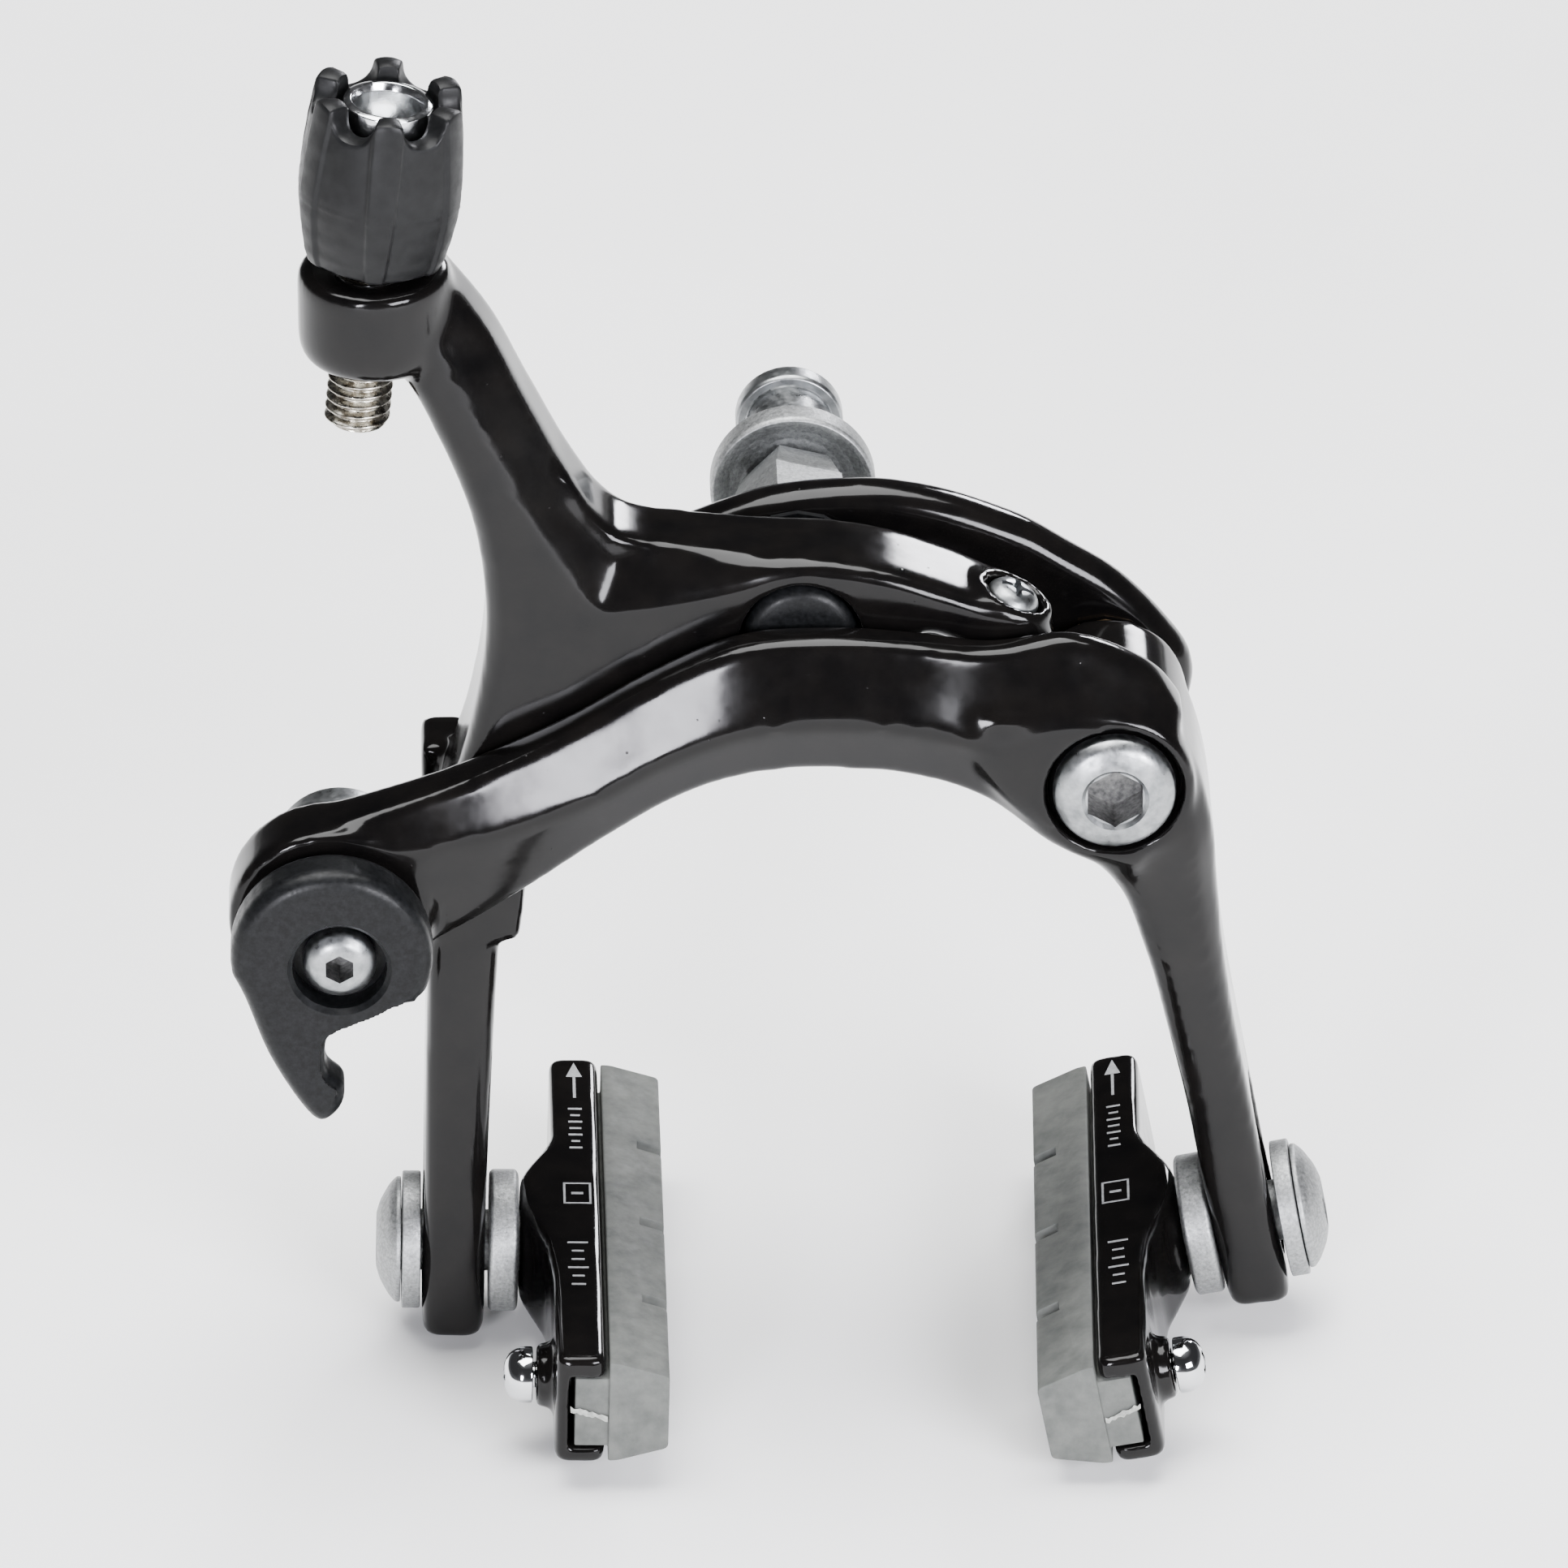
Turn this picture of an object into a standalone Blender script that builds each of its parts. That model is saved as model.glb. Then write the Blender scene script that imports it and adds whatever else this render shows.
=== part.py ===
"""Long-reach dual-pivot rim brake caliper for a bicycle, sprung open, without its cable.

Frame: +X to the caliper's adjuster-free side, +Y along the mounting bolt to the rear, +Z up.
The origin is on the mounting bolt's axis, on the flat rear face of the concave washer.
Lengths below are in millimetres and become metres through MM.
"""
import math

import bmesh
import bpy
from mathutils import Matrix, Vector

MM = 0.001
OBJECT_NAME = "rim_brake_caliper"
ROUND_STEPS = 20
HIDDEN_STEPS = 16
CLEARANCE = 0.3

# Pivots, as (x, z) of axes that run along Y
CENTRE_PIVOT = (0.0, 0.0)
SIDE_PIVOT = (28.2, -12.0)
QR_AXIS = (-42.2, -26.0)
QR_BOSS = (-43.0, -24.6)

# Layers along Y, front to rear
CARM_REAR = -31.6
YARM_REAR = -18.6
BRACKET_FRONT = -17.4
BRACKET_REAR = -12.4

# Bolts and bores
M6_RADIUS = 3.0
M6_BORE = M6_RADIUS + CLEARANCE
BUSH_RADIUS = 4.4
PIVOT_BORE = BUSH_RADIUS + CLEARANCE
BOSS_RADIUS = 8.0

# Cable adjuster: a point on its axis, and how far the axis leans towards +X
ADJUSTER_POINT = (-38.8, -25.0, 31.8)
ADJUSTER_LEAN = math.radians(5.8)
ADJUSTER_BOSS_RADIUS = 7.0
ADJUSTER_BOSS_HALF = 5.0
KNOB_TABS = 6

# Brake shoes
PAD_BOLT_Y = -25.0
LEG_FRONT = -31.0
LEG_REAR = -19.0
LEG_THICKNESS = 5.8
LEG_SLOT_TRAVEL = 12.0
PAD_LENGTH = 54.0
PAD_HEIGHT = 10.4
PAD_INSET = 1.4
PAD_DEPTH = 5.5
PAD_AHEAD = 3.0
PAD_BELOW = 0.5
HOLDER_HEIGHT = 11.2
HOLDER_DEPTH = 4.9
PAD_SCREW_AHEAD = 23.4
# Per side: (x, z) where the pad bolt crosses the leg, the leg's tilt, the distance from there to
# the pad's face, and the shoe's own small turns about Z and about its bolt from setting it to a rim
LEFT_SHOE = ((-32.1, -66.8), math.radians(1.5), 19.4, 0.0, math.radians(-1.1))
RIGHT_SHOE = ((41.7, -65.3), math.radians(-10.8), 19.6, math.radians(-1.6), math.radians(-1.1))

# Adjusting (centring) screw between the two arms: its seat on the arm and its direction
CENTRING_SEAT = (19.4, 2.2)
CENTRING_LEAN = math.radians(25.0)
CENTRING_Y = -27.0


# ---------------------------------------------------------------- helpers

def clear_scene():
    for item in list(bpy.data.objects):
        bpy.data.objects.remove(item, do_unlink=True)


def new_collection(name):
    group = bpy.data.collections.new(name)
    bpy.context.scene.collection.children.link(group)
    return group


def make_material(name, colour, roughness, metallic):
    material = bpy.data.materials.new(name)
    material.use_nodes = True
    shader = material.node_tree.nodes["Principled BSDF"]
    shader.inputs["Base Color"].default_value = (*colour, 1.0)
    shader.inputs["Roughness"].default_value = roughness
    shader.inputs["Metallic"].default_value = metallic
    return material


def point(x, y, z):
    return Vector((x, y, z)) * MM


def along(location, direction):
    """Matrix whose local Z points along direction, placed at location (millimetres)."""
    turn = Vector(direction).to_track_quat("Z", "Y").to_matrix().to_4x4()
    return Matrix.Translation(point(*location)) @ turn


def along_y(axis):
    """Matrix whose local Z is world +Y, on an axis given as (x, z); local Z = 0 lies at y = 0."""
    return Matrix.Translation(point(axis[0], 0.0, axis[1])) @ Matrix.Rotation(-math.pi / 2, 4, "X")


def place_object(name, data, place, group):
    item = bpy.data.objects.new(name, data)
    item.matrix_world = place
    group.objects.link(item)
    return item


def shade(mesh):
    mesh.shade_smooth()
    mesh.set_sharp_from_angle(angle=math.radians(35))


def turned(name, profile, place, group, closed=False, steps=ROUND_STEPS):
    """Solid of revolution about local Z. The profile is (radius, height), top to bottom outside."""
    mesh = bpy.data.meshes.new(name)
    corners = [(radius * MM, 0.0, height * MM) for radius, height in profile]
    edges = [(i, i + 1) for i in range(len(corners) - 1)]
    if closed:
        edges.append((len(corners) - 1, 0))
    mesh.from_pydata(corners, edges, [])
    item = place_object(name, mesh, place, group)
    screw = item.modifiers.new("Turn", "SCREW")
    screw.axis = "Z"
    screw.angle = 2 * math.pi
    screw.steps = steps
    screw.render_steps = steps
    screw.use_merge_vertices = True
    screw.merge_threshold = 0.00001
    screw.use_smooth_shade = True
    return item


def rod_profile(radius, low, high, chamfer=0.4):
    return [(0, high), (radius - chamfer, high), (radius, high - chamfer),
            (radius, low + chamfer), (radius - chamfer, low), (0, low)]


def ring_profile(inner, outer, low, high, chamfer=0.25):
    return [(outer - chamfer, high), (outer, high - chamfer), (outer, low + chamfer),
            (outer - chamfer, low), (inner, low), (inner, high)]


def plain_ring(name, radii, low, high, place, group):
    """Washer or bush with square edges; radii is (inner, outer)."""
    inner, outer = radii
    profile = [(outer, high), (outer, low), (inner, low), (inner, high)]
    return turned(name, profile, place, group, closed=True, steps=HIDDEN_STEPS)


def primitive(name, place, group, radius, low, high, sides):
    """Closed cylinder (or prism of few sides) along local Z, from low to high."""
    mesh = bpy.data.meshes.new(name)
    work = bmesh.new()
    middle = Matrix.Translation((0, 0, (low + high) / 2 * MM))
    bmesh.ops.create_cone(work, cap_ends=True, segments=sides, radius1=radius * MM,
                          radius2=radius * MM, depth=(high - low) * MM, matrix=middle)
    work.to_mesh(mesh)
    work.free()
    return place_object(name, mesh, place, group)


def block(name, place, group, size, bevel=0.0):
    """Box of the given size (millimetres) centred on its place."""
    mesh = bpy.data.meshes.new(name)
    work = bmesh.new()
    bmesh.ops.create_cube(work, size=1.0)
    bmesh.ops.scale(work, vec=Vector(size) * MM, verts=work.verts)
    work.to_mesh(mesh)
    work.free()
    item = place_object(name, mesh, place, group)
    if bevel:
        soften = item.modifiers.new("Round", "BEVEL")
        soften.width = bevel * MM
        soften.segments = 2
    return item


def prism(name, outline, low, high, place, group, holes=()):
    """Flat outline in local XY, filled and extruded along local Z from low to high."""
    curve = bpy.data.curves.new(name, "CURVE")
    curve.dimensions = "2D"
    curve.fill_mode = "BOTH"
    curve.extrude = (high - low) / 2 * MM
    for loop in (outline, *holes):
        spline = curve.splines.new("POLY")
        spline.points.add(len(loop) - 1)
        for corner, (x, y) in zip(spline.points, loop):
            corner.co = (x * MM, y * MM, 0.0, 1.0)
        spline.use_cyclic_u = True
    middle = place @ Matrix.Translation((0, 0, (low + high) / 2 * MM))
    flat = place_object(name + "_outline", curve, middle, group)
    bpy.context.view_layer.update()
    mesh = bpy.data.meshes.new_from_object(flat.evaluated_get(bpy.context.evaluated_depsgraph_get()))
    work = bmesh.new()
    work.from_mesh(mesh)
    bmesh.ops.remove_doubles(work, verts=work.verts, dist=0.000001)
    bmesh.ops.recalc_face_normals(work, faces=work.faces)
    work.to_mesh(mesh)
    work.free()
    mesh.name = name
    item = place_object(name, mesh, middle, group)
    bpy.data.objects.remove(flat, do_unlink=True)
    bpy.data.curves.remove(curve)
    return item


def front_prism(name, outline, front, rear, group, holes=()):
    """Prism whose outline is given as (x, z), from y = front to y = rear."""
    mirrored = [[(x, -z) for x, z in loop] for loop in (outline, *holes)]
    return prism(name, mirrored[0], front, rear, along_y((0.0, 0.0)), group, mirrored[1:])


def spline_values(rows, per_span):
    """Catmull-Rom interpolation of rows of numbers, per_span steps between two rows."""
    result = []
    for index in range(len(rows) - 1):
        before = rows[max(index - 1, 0)]
        start, end = rows[index], rows[index + 1]
        after = rows[min(index + 2, len(rows) - 1)]
        for step in range(per_span):
            t = step / per_span
            result.append([
                0.5 * (2 * b + (c - a) * t + (2 * a - 5 * b + 4 * c - d) * t ** 2
                       + (3 * b - a - 3 * c + d) * t ** 3)
                for a, b, c, d in zip(before, start, end, after)])
    result.append(list(rows[-1]))
    return result


def rib_section(rib):
    """Eight corners of a rib: (ax, az) and (bx, bz) are its ends, front and rear its depth."""
    ax, az, bx, bz, front, rear, a_across, a_deep, b_across, b_deep, back = rib
    start, end = Vector((bx, bz)), Vector((ax, az))
    length = (end - start).length
    unit = (end - start) / length
    corners = [
        (length, rear - back), (length - back, rear), (back, rear), (0.0, rear - back),
        (0.0, front + b_deep), (b_across, front), (length - a_across, front),
        (length, front + a_deep)]
    placed = [(start + unit * across, depth) for across, depth in corners]
    return [(flat.x, depth, flat.y) for flat, depth in placed]


def forging(name, ribs, group):
    """Arm forged along a row of ribs, each rib between an outer and an inner edge point."""
    mesh = bpy.data.meshes.new(name)
    work = bmesh.new()
    rings = []
    for rib in spline_values(ribs, 2):
        rings.append([work.verts.new(point(*corner)) for corner in rib_section(rib)])
    for ring, following in zip(rings, rings[1:]):
        for i in range(len(ring)):
            j = (i + 1) % len(ring)
            work.faces.new((ring[i], ring[j], following[j], following[i]))
    work.faces.new(rings[0])
    work.faces.new(rings[-1])
    bmesh.ops.recalc_face_normals(work, faces=work.faces)
    work.to_mesh(mesh)
    work.free()
    return place_object(name, mesh, Matrix.Identity(4), group)


def wire(name, route, radius, group):
    """Round wire along a smooth curve through the route's points."""
    curve = bpy.data.curves.new(name, "CURVE")
    curve.dimensions = "3D"
    curve.bevel_depth = radius * MM
    curve.bevel_resolution = 2
    curve.use_fill_caps = True
    stops = spline_values(route, 4)
    spline = curve.splines.new("POLY")
    spline.points.add(len(stops) - 1)
    for corner, stop in zip(spline.points, stops):
        corner.co = (*point(*stop), 1.0)
    return place_object(name, curve, Matrix.Identity(4), group)


def boolean(item, other, operation):
    step = item.modifiers.new(operation.title() + "_" + other.name, "BOOLEAN")
    step.operation = operation
    step.solver = "EXACT"
    step.object = other


def cut(item, *cutters):
    for cutter in cutters:
        boolean(item, cutter, "DIFFERENCE")


def join(item, *others):
    for other in others:
        boolean(item, other, "UNION")


def set_origin(item, origin):
    """Moves an object's origin to a point in millimetres, leaving its shape in place."""
    shift = point(*origin) - item.location
    item.data.transform(Matrix.Translation(-shift))
    item.location = item.location + shift


def joint_empty(name, location, group):
    empty = bpy.data.objects.new(name, None)
    empty.location = point(*location)
    group.objects.link(empty)
    return empty


def carry(empty, *items):
    for item in items:
        item.parent = empty
        item.matrix_parent_inverse = Matrix.Translation(-empty.location)


def arc(centre, radius, start, end, count):
    """Points on an arc, angles in degrees."""
    return [
        (centre[0] + radius * math.cos(math.radians(start + (end - start) * i / (count - 1))),
         centre[1] + radius * math.sin(math.radians(start + (end - start) * i / (count - 1))))
        for i in range(count)]


def paint(material, *items):
    for item in items:
        item.data.materials.clear()
        item.data.materials.append(material)


# ---------------------------------------------------------------- mounting parts

def make_mounting(parts, cutters):
    axis = along_y(CENTRE_PIVOT)
    bolt = turned("mounting_bolt", rod_profile(M6_RADIUS, -28.4, 9.6), axis, parts)
    washer = turned(
        "concave_washer",
        [(7.4, 0.0), (7.65, -0.25), (7.65, -2.7), (7.4, -2.95), (7.0, -2.6), (5.9, -1.9),
         (4.8, -1.5), (M6_BORE, -1.4), (M6_BORE, 0.0)],
        axis, parts, closed=True, steps=32)
    nut = turned(
        "recessed_nut",
        [(4.7, 12.5), (5.0, 12.2), (5.0, 10.2), (4.8, 10.0), (4.0, 10.0), (4.0, 2.6), (3.7, 2.3),
         (M6_BORE, 2.3), (M6_BORE, 12.5)],
        axis, parts, closed=True)
    cut(nut, primitive("recessed_nut_hex", axis, cutters, 3.75, 9.7, 13.0, 6))
    spacer = turned(
        "bolt_spacer",
        [(4.2, -1.7), (5.6, -7.2), (5.8, -7.6), (5.8, BRACKET_REAR + CLEARANCE),
         (M6_BORE, BRACKET_REAR + CLEARANCE), (M6_BORE, -1.7)], axis, parts, closed=True)
    rear_washer = plain_ring("rear_thrust_washer", (M6_BORE, 6.2), YARM_REAR + CLEARANCE,
                             BRACKET_FRONT - CLEARANCE, axis, parts)
    bush = plain_ring("centre_bush", (M6_BORE, BUSH_RADIUS), -24.9, -18.7, axis, parts)
    front_washer = plain_ring("front_thrust_washer", (M6_BORE, 5.8), -26.1, -25.3, axis, parts)
    cap = turned(
        "centre_cap_nut",
        [(0, -29.0), (M6_BORE, -29.0), (M6_BORE, -26.4), (5.0, -26.4), (5.2, -26.6), (5.2, -30.0),
         (4.4, -30.8), (0, -31.0)], axis, parts)
    return bolt, washer, nut, spacer, rear_washer, bush, front_washer, cap


def make_bracket(parts, cutters):
    top = [(-13.6, 1.8), (-12.9, 2.8), (-9.7, 4.1), (-6.0, 5.6), (-3.0, 6.6), (1.0, 6.9), (6.0, 6.5),
           (12.6, 5.7), (18.5, 2.6), (23.8, -1.1), (28.0, -4.9), (31.3, -8.0)]
    side = [(34.0, -10.8), (35.4, -13.3), (35.0, -16.2), (32.4, -18.6), (28.4, -19.2), (24.0, -18.0)]
    bottom = [(21.0, -16.0), (14.0, -10.8), (6.0, -7.6), (0.0, -7.2), (-6.0, -5.8), (-11.0, -2.4)]
    outline = top + side + bottom
    bracket = front_prism("pivot_bracket", outline, BRACKET_FRONT, BRACKET_REAR, parts)
    cut(bracket,
        primitive("bracket_centre_bore", along_y(CENTRE_PIVOT), cutters, M6_BORE, -20, -8, HIDDEN_STEPS),
        primitive("bracket_side_bore", along_y(SIDE_PIVOT), cutters, M6_BORE, -20, -8, HIDDEN_STEPS))
    return bracket


def make_side_pivot(parts, cutters):
    axis = along_y(SIDE_PIVOT)
    bolt = turned(
        "side_pivot_bolt",
        [(0, -10.6), (M6_RADIUS - 0.4, -10.6), (M6_RADIUS, -11.0), (M6_RADIUS, -37.0),
         (5.3, -37.0), (5.6, -37.3), (5.6, -38.6), (4.0, -39.7), (0, -39.9)], axis, parts)
    cut(bolt, primitive("side_pivot_socket", axis, cutters, 2.6 / math.cos(math.pi / 6), -41, -37.2, 6))
    bush = plain_ring("side_bush", (M6_BORE, BUSH_RADIUS), -36.4, -18.7, axis, parts)
    washer = plain_ring("side_thrust_washer", (M6_BORE, 6.4), YARM_REAR + CLEARANCE,
                        BRACKET_FRONT - CLEARANCE, axis, parts)
    return bolt, bush, washer


def make_spring(parts):
    left = [(-29.8, -15.6, -18.8), (-26.0, -15.2, -17.4), (-20.0, -14.4, -15.2)]
    middle = [(-11.0, -13.8, -13.2), (0.0, -13.8, -12.6), (10.0, -13.8, -14.6)]
    right = [(20.0, -14.0, -21.8), (27.0, -15.0, -27.4), (31.2, -15.6, -30.0)]
    spring = wire("return_spring", left + middle + right, 1.1, parts)
    holder = block("spring_holder", Matrix.Translation(point(0.0, -13.8, -9.3)), parts,
                   (9.0, 5.6, 2.5), 0.5)
    return spring, holder


# ---------------------------------------------------------------- arms

def leg_slot(name, shoe, cutters):
    """Stadium cutter across a leg, along the leg, from the pad bolt's rest place upwards."""
    radius = 3.25
    half = LEG_SLOT_TRAVEL / 2
    outline = (arc((0, half), radius, 0, 180, 9)
               + arc((0, -half), radius, 180, 360, 9))
    crossing, tilt = shoe[:2]
    turn = Matrix.Rotation(tilt, 4, "Y")
    across = Matrix.Rotation(math.pi / 2, 4, "Z") @ Matrix.Rotation(math.pi / 2, 4, "X")
    centre = Matrix.Translation(point(crossing[0], PAD_BOLT_Y, crossing[1])) @ turn
    middle = centre @ Matrix.Translation(point(0, 0, half - 0.6))
    return prism(name, outline, -8.0, 8.0, middle @ across, cutters)


def make_left_arm(parts, cutters):
    # Ribs: outer edge, inner edge, front, rear, outer cut, inner cut, back cut
    tower_and_leg = [
        (-40.5, 31.0, -32.5, 36.0, -30.5, -19.8, 1.5, 1.5, 1.5, 1.5, 0.8),
        (-36.0, 26.5, -27.8, 29.6, -31.0, -19.8, 1.5, 1.5, 2.5, 2.0, 0.8),
        (-32.8, 20.5, -24.2, 22.2, -31.1, -19.8, 1.5, 1.5, 3.0, 2.5, 0.8),
        (-29.8, 12.5, -19.2, 12.6, -31.1, -19.8, 1.5, 1.5, 3.0, 2.5, 0.8),
        (-28.6, 4.4, -13.0, 5.4, -31.1, -19.8, 1.5, 1.5, 1.5, 1.5, 0.6),
        (-28.8, -2.5, -12.0, -2.5, -31.1, -19.8, 1.5, 1.5, 1.0, 1.0, 0.6),
        (-30.3, -10.5, -17.0, -11.0, -31.1, -19.8, 1.2, 1.2, 1.0, 1.0, 0.6),
        (-32.6, -18.2, -23.6, -19.5, -31.1, -19.6, 1.0, 1.0, 1.0, 1.0, 0.6),
        (-33.6, -25.5, -27.0, -26.4, -31.0, -19.4, 1.0, 1.0, 1.0, 1.0, 0.6),
        (-34.2, -34.0, -27.8, -34.4, LEG_FRONT, LEG_REAR, 0.8, 0.8, 0.8, 0.8, 0.6),
        (-34.6, -47.0, -28.5, -47.0, LEG_FRONT, LEG_REAR, 0.8, 0.8, 0.8, 0.8, 0.6),
        (-34.9, -60.0, -29.1, -60.2, LEG_FRONT, LEG_REAR, 0.8, 0.8, 0.8, 0.8, 0.6),
        (-35.2, -72.8, -29.5, -73.1, LEG_FRONT, LEG_REAR, 0.8, 0.8, 0.8, 0.8, 0.6),
        (-34.4, -74.0, -30.2, -74.2, LEG_FRONT + 1.0, LEG_REAR - 1.0, 0.8, 0.8, 0.8, 0.8, 0.6)]
    extension = [
        (-22.0, 8.0, -24.0, -5.0, -31.0, -21.0, 2.0, 1.5, 1.0, 1.0, 0.6),
        (-14.0, 7.2, -16.0, -7.0, -31.0, -21.0, 2.0, 1.5, 1.0, 1.0, 0.6),
        (-7.0, 7.2, -8.0, -7.5, -31.0, -21.0, 1.2, 1.0, 1.0, 1.0, 0.6),
        (0.0, 7.9, 0.0, -7.6, -31.0, -21.0, 0.8, 0.8, 1.0, 1.0, 0.6),
        (7.0, 6.9, 7.0, -5.0, -31.0, -21.0, 1.0, 1.0, 1.0, 1.0, 0.6),
        (12.5, 5.1, 10.6, 0.0, -31.0, -21.2, 1.0, 1.0, 1.0, 1.0, 0.6),
        (17.6, 2.9, 15.6, -1.6, -31.0, -21.8, 0.8, 0.8, 0.8, 0.8, 0.6),
        (22.4, -0.3, 20.6, -3.8, -31.0, -22.6, 0.8, 0.8, 0.8, 0.8, 0.6),
        (23.2, -1.4, 22.2, -3.6, -29.8, -23.8, 0.6, 0.6, 0.6, 0.6, 0.6)]
    arm = forging("left_arm", tower_and_leg, parts)
    centre = along_y(CENTRE_PIVOT)
    adjuster = adjuster_place()
    boss_place = along((-38.2, ADJUSTER_POINT[1], ADJUSTER_POINT[2]), (0.0, 0.0, 1.0))
    lug = block("left_spring_lug", Matrix.Translation(point(-33.1, -17.4, -19.0)), cutters,
                (3.0, 6.4, 5.6))
    shoulder = block("left_arm_shoulder",
                     Matrix.Translation(point(-29.6, -25.9, -26.8))
                     @ Matrix.Rotation(math.radians(6.0), 4, "Y"), cutters, (8.6, 10.6, 8.4), 0.4)
    join(arm,
         forging("left_arm_extension", extension, cutters),
         primitive("left_arm_boss", centre, cutters, BOSS_RADIUS, -30.9, -21.5, 24),
         primitive("left_arm_hub", centre, cutters, 6.4, -24.0, YARM_REAR, 24),
         primitive("left_arm_adjuster_boss", boss_place, cutters, ADJUSTER_BOSS_RADIUS,
                   -ADJUSTER_BOSS_HALF, ADJUSTER_BOSS_HALF - 0.7, 24),
         lug, shoulder)
    screw_place = centring_place()
    cut(arm,
        primitive("left_arm_bore", centre, cutters, PIVOT_BORE, -35, -15, ROUND_STEPS),
        primitive("left_arm_counterbore", centre, cutters, 6.2, -35, -25.0, 24),
        primitive("left_arm_adjuster_bore", adjuster, cutters, 3.35, -12, 12, ROUND_STEPS),
        primitive("left_arm_screw_bore", screw_place, cutters, 1.85, -12, 6, 16),
        primitive("left_arm_screw_seat", screw_place, cutters, 2.9, -1.2, 6, 16),
        leg_slot("left_leg_slot", LEFT_SHOE, cutters))
    return arm


def make_right_arm(parts, cutters):
    # Ribs: outer edge, inner edge, front, rear, outer cut, inner cut, back cut
    band = [
        (-43.4, -15.4, -40.5, -31.4, -38.5, -31.6, 2.0, 1.5, 2.5, 1.2, 0.8),
        (-34.5, -12.6, -33.0, -27.8, -38.5, -31.6, 2.0, 1.5, 4.5, 1.8, 0.6),
        (-28.5, -10.1, -25.8, -23.5, -38.5, -31.6, 2.0, 1.5, 5.0, 2.4, 0.6),
        (-21.1, -6.4, -17.5, -17.6, -38.5, -31.6, 2.0, 1.5, 5.0, 3.0, 0.6),
        (-13.8, -1.9, -10.5, -13.3, -38.5, -31.6, 2.0, 1.5, 5.0, 3.0, 0.6),
        (-6.0, 1.7, -3.5, -11.2, -38.5, -31.6, 2.0, 1.5, 5.0, 3.0, 0.6),
        (2.0, 2.4, 4.0, -11.0, -38.5, -31.6, 2.0, 1.5, 5.0, 3.0, 0.6),
        (10.0, 1.8, 11.0, -12.0, -38.5, -31.6, 2.0, 1.5, 5.0, 3.0, 0.6),
        (17.0, 0.8, 17.0, -14.4, -38.5, -31.6, 2.0, 1.5, 4.0, 2.4, 0.6),
        (24.6, 1.6, 22.5, -18.2, -38.5, -31.6, 2.0, 1.5, 2.0, 1.5, 0.6),
        (31.6, -1.8, 28.0, -21.0, -38.4, -31.0, 2.0, 1.5, 2.0, 1.5, 0.6),
        (34.6, -6.0, 30.0, -22.0, -38.3, -30.0, 2.0, 1.5, 2.0, 1.5, 0.6)]
    leg = [
        (31.6, -5.4, 16.0, -4.0, -38.2, -21.4, 2.0, 2.0, 1.0, 1.0, 0.8),
        (35.2, -9.6, 15.0, -8.6, -38.2, -21.0, 2.0, 2.0, 1.0, 1.0, 0.8),
        (37.2, -16.4, 19.0, -14.6, -38.2, -21.0, 2.0, 2.0, 1.5, 1.5, 0.8),
        (37.9, -24.0, 27.9, -22.6, -37.4, -21.0, 2.0, 2.0, 1.5, 1.5, 0.8),
        (38.6, -31.5, 31.4, -31.4, -36.0, -20.4, 1.5, 1.5, 1.0, 1.0, 0.6),
        (39.8, -40.0, 33.6, -40.6, -33.8, -19.4, 1.0, 1.0, 0.8, 0.8, 0.6),
        (41.4, -49.0, 35.6, -49.8, -31.8, LEG_REAR, 0.8, 0.8, 0.8, 0.8, 0.6),
        (43.4, -60.0, 37.6, -60.8, LEG_FRONT, LEG_REAR, 0.8, 0.8, 0.8, 0.8, 0.6),
        (45.5, -70.4, 39.8, -71.1, LEG_FRONT, LEG_REAR, 0.8, 0.8, 0.8, 0.8, 0.6),
        (45.0, -71.5, 40.8, -72.0, LEG_FRONT + 1.0, LEG_REAR - 1.0, 0.8, 0.8, 0.8, 0.8, 0.6)]
    arm = forging("right_arm", leg, parts)
    side = along_y(SIDE_PIVOT)
    quick = along_y(QR_AXIS)
    lug = block("right_spring_lug", Matrix.Translation(point(34.6, -17.4, -30.0)), cutters,
                (3.4, 8.6, 6.6))
    pocket_turn = Matrix.Rotation(CENTRING_LEAN, 4, "Y")
    pocket = block("right_arm_pocket",
                   Matrix.Translation(point(17.2, 0, -3.3)) @ pocket_turn
                   @ Matrix.Translation(point(-4.0, -25.4, 6.0)), cutters, (22.0, 12.0, 12.0))
    join(arm,
         forging("right_arm_band", band, cutters),
         primitive("right_arm_qr_boss", along_y(QR_BOSS), cutters, 9.3, -38.6, CARM_REAR, 24),
         primitive("right_arm_anchor_boss", quick, cutters, 7.2, -33.0, -28.6, 24),
         primitive("right_arm_pivot_boss", side, cutters, 7.4, -36.0, YARM_REAR, 24),
         lug)
    cut(arm,
        pocket,
        primitive("right_arm_pivot_bore", side, cutters, PIVOT_BORE, -45, -15, ROUND_STEPS),
        primitive("right_arm_pivot_seat", side, cutters, 6.3, -45, -36.7, ROUND_STEPS),
        primitive("right_arm_qr_bore", quick, cutters, 4.2, -45, -20, ROUND_STEPS),
        leg_slot("right_leg_slot", RIGHT_SHOE, cutters))
    return arm


# ---------------------------------------------------------------- quick release and cable anchor

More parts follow.
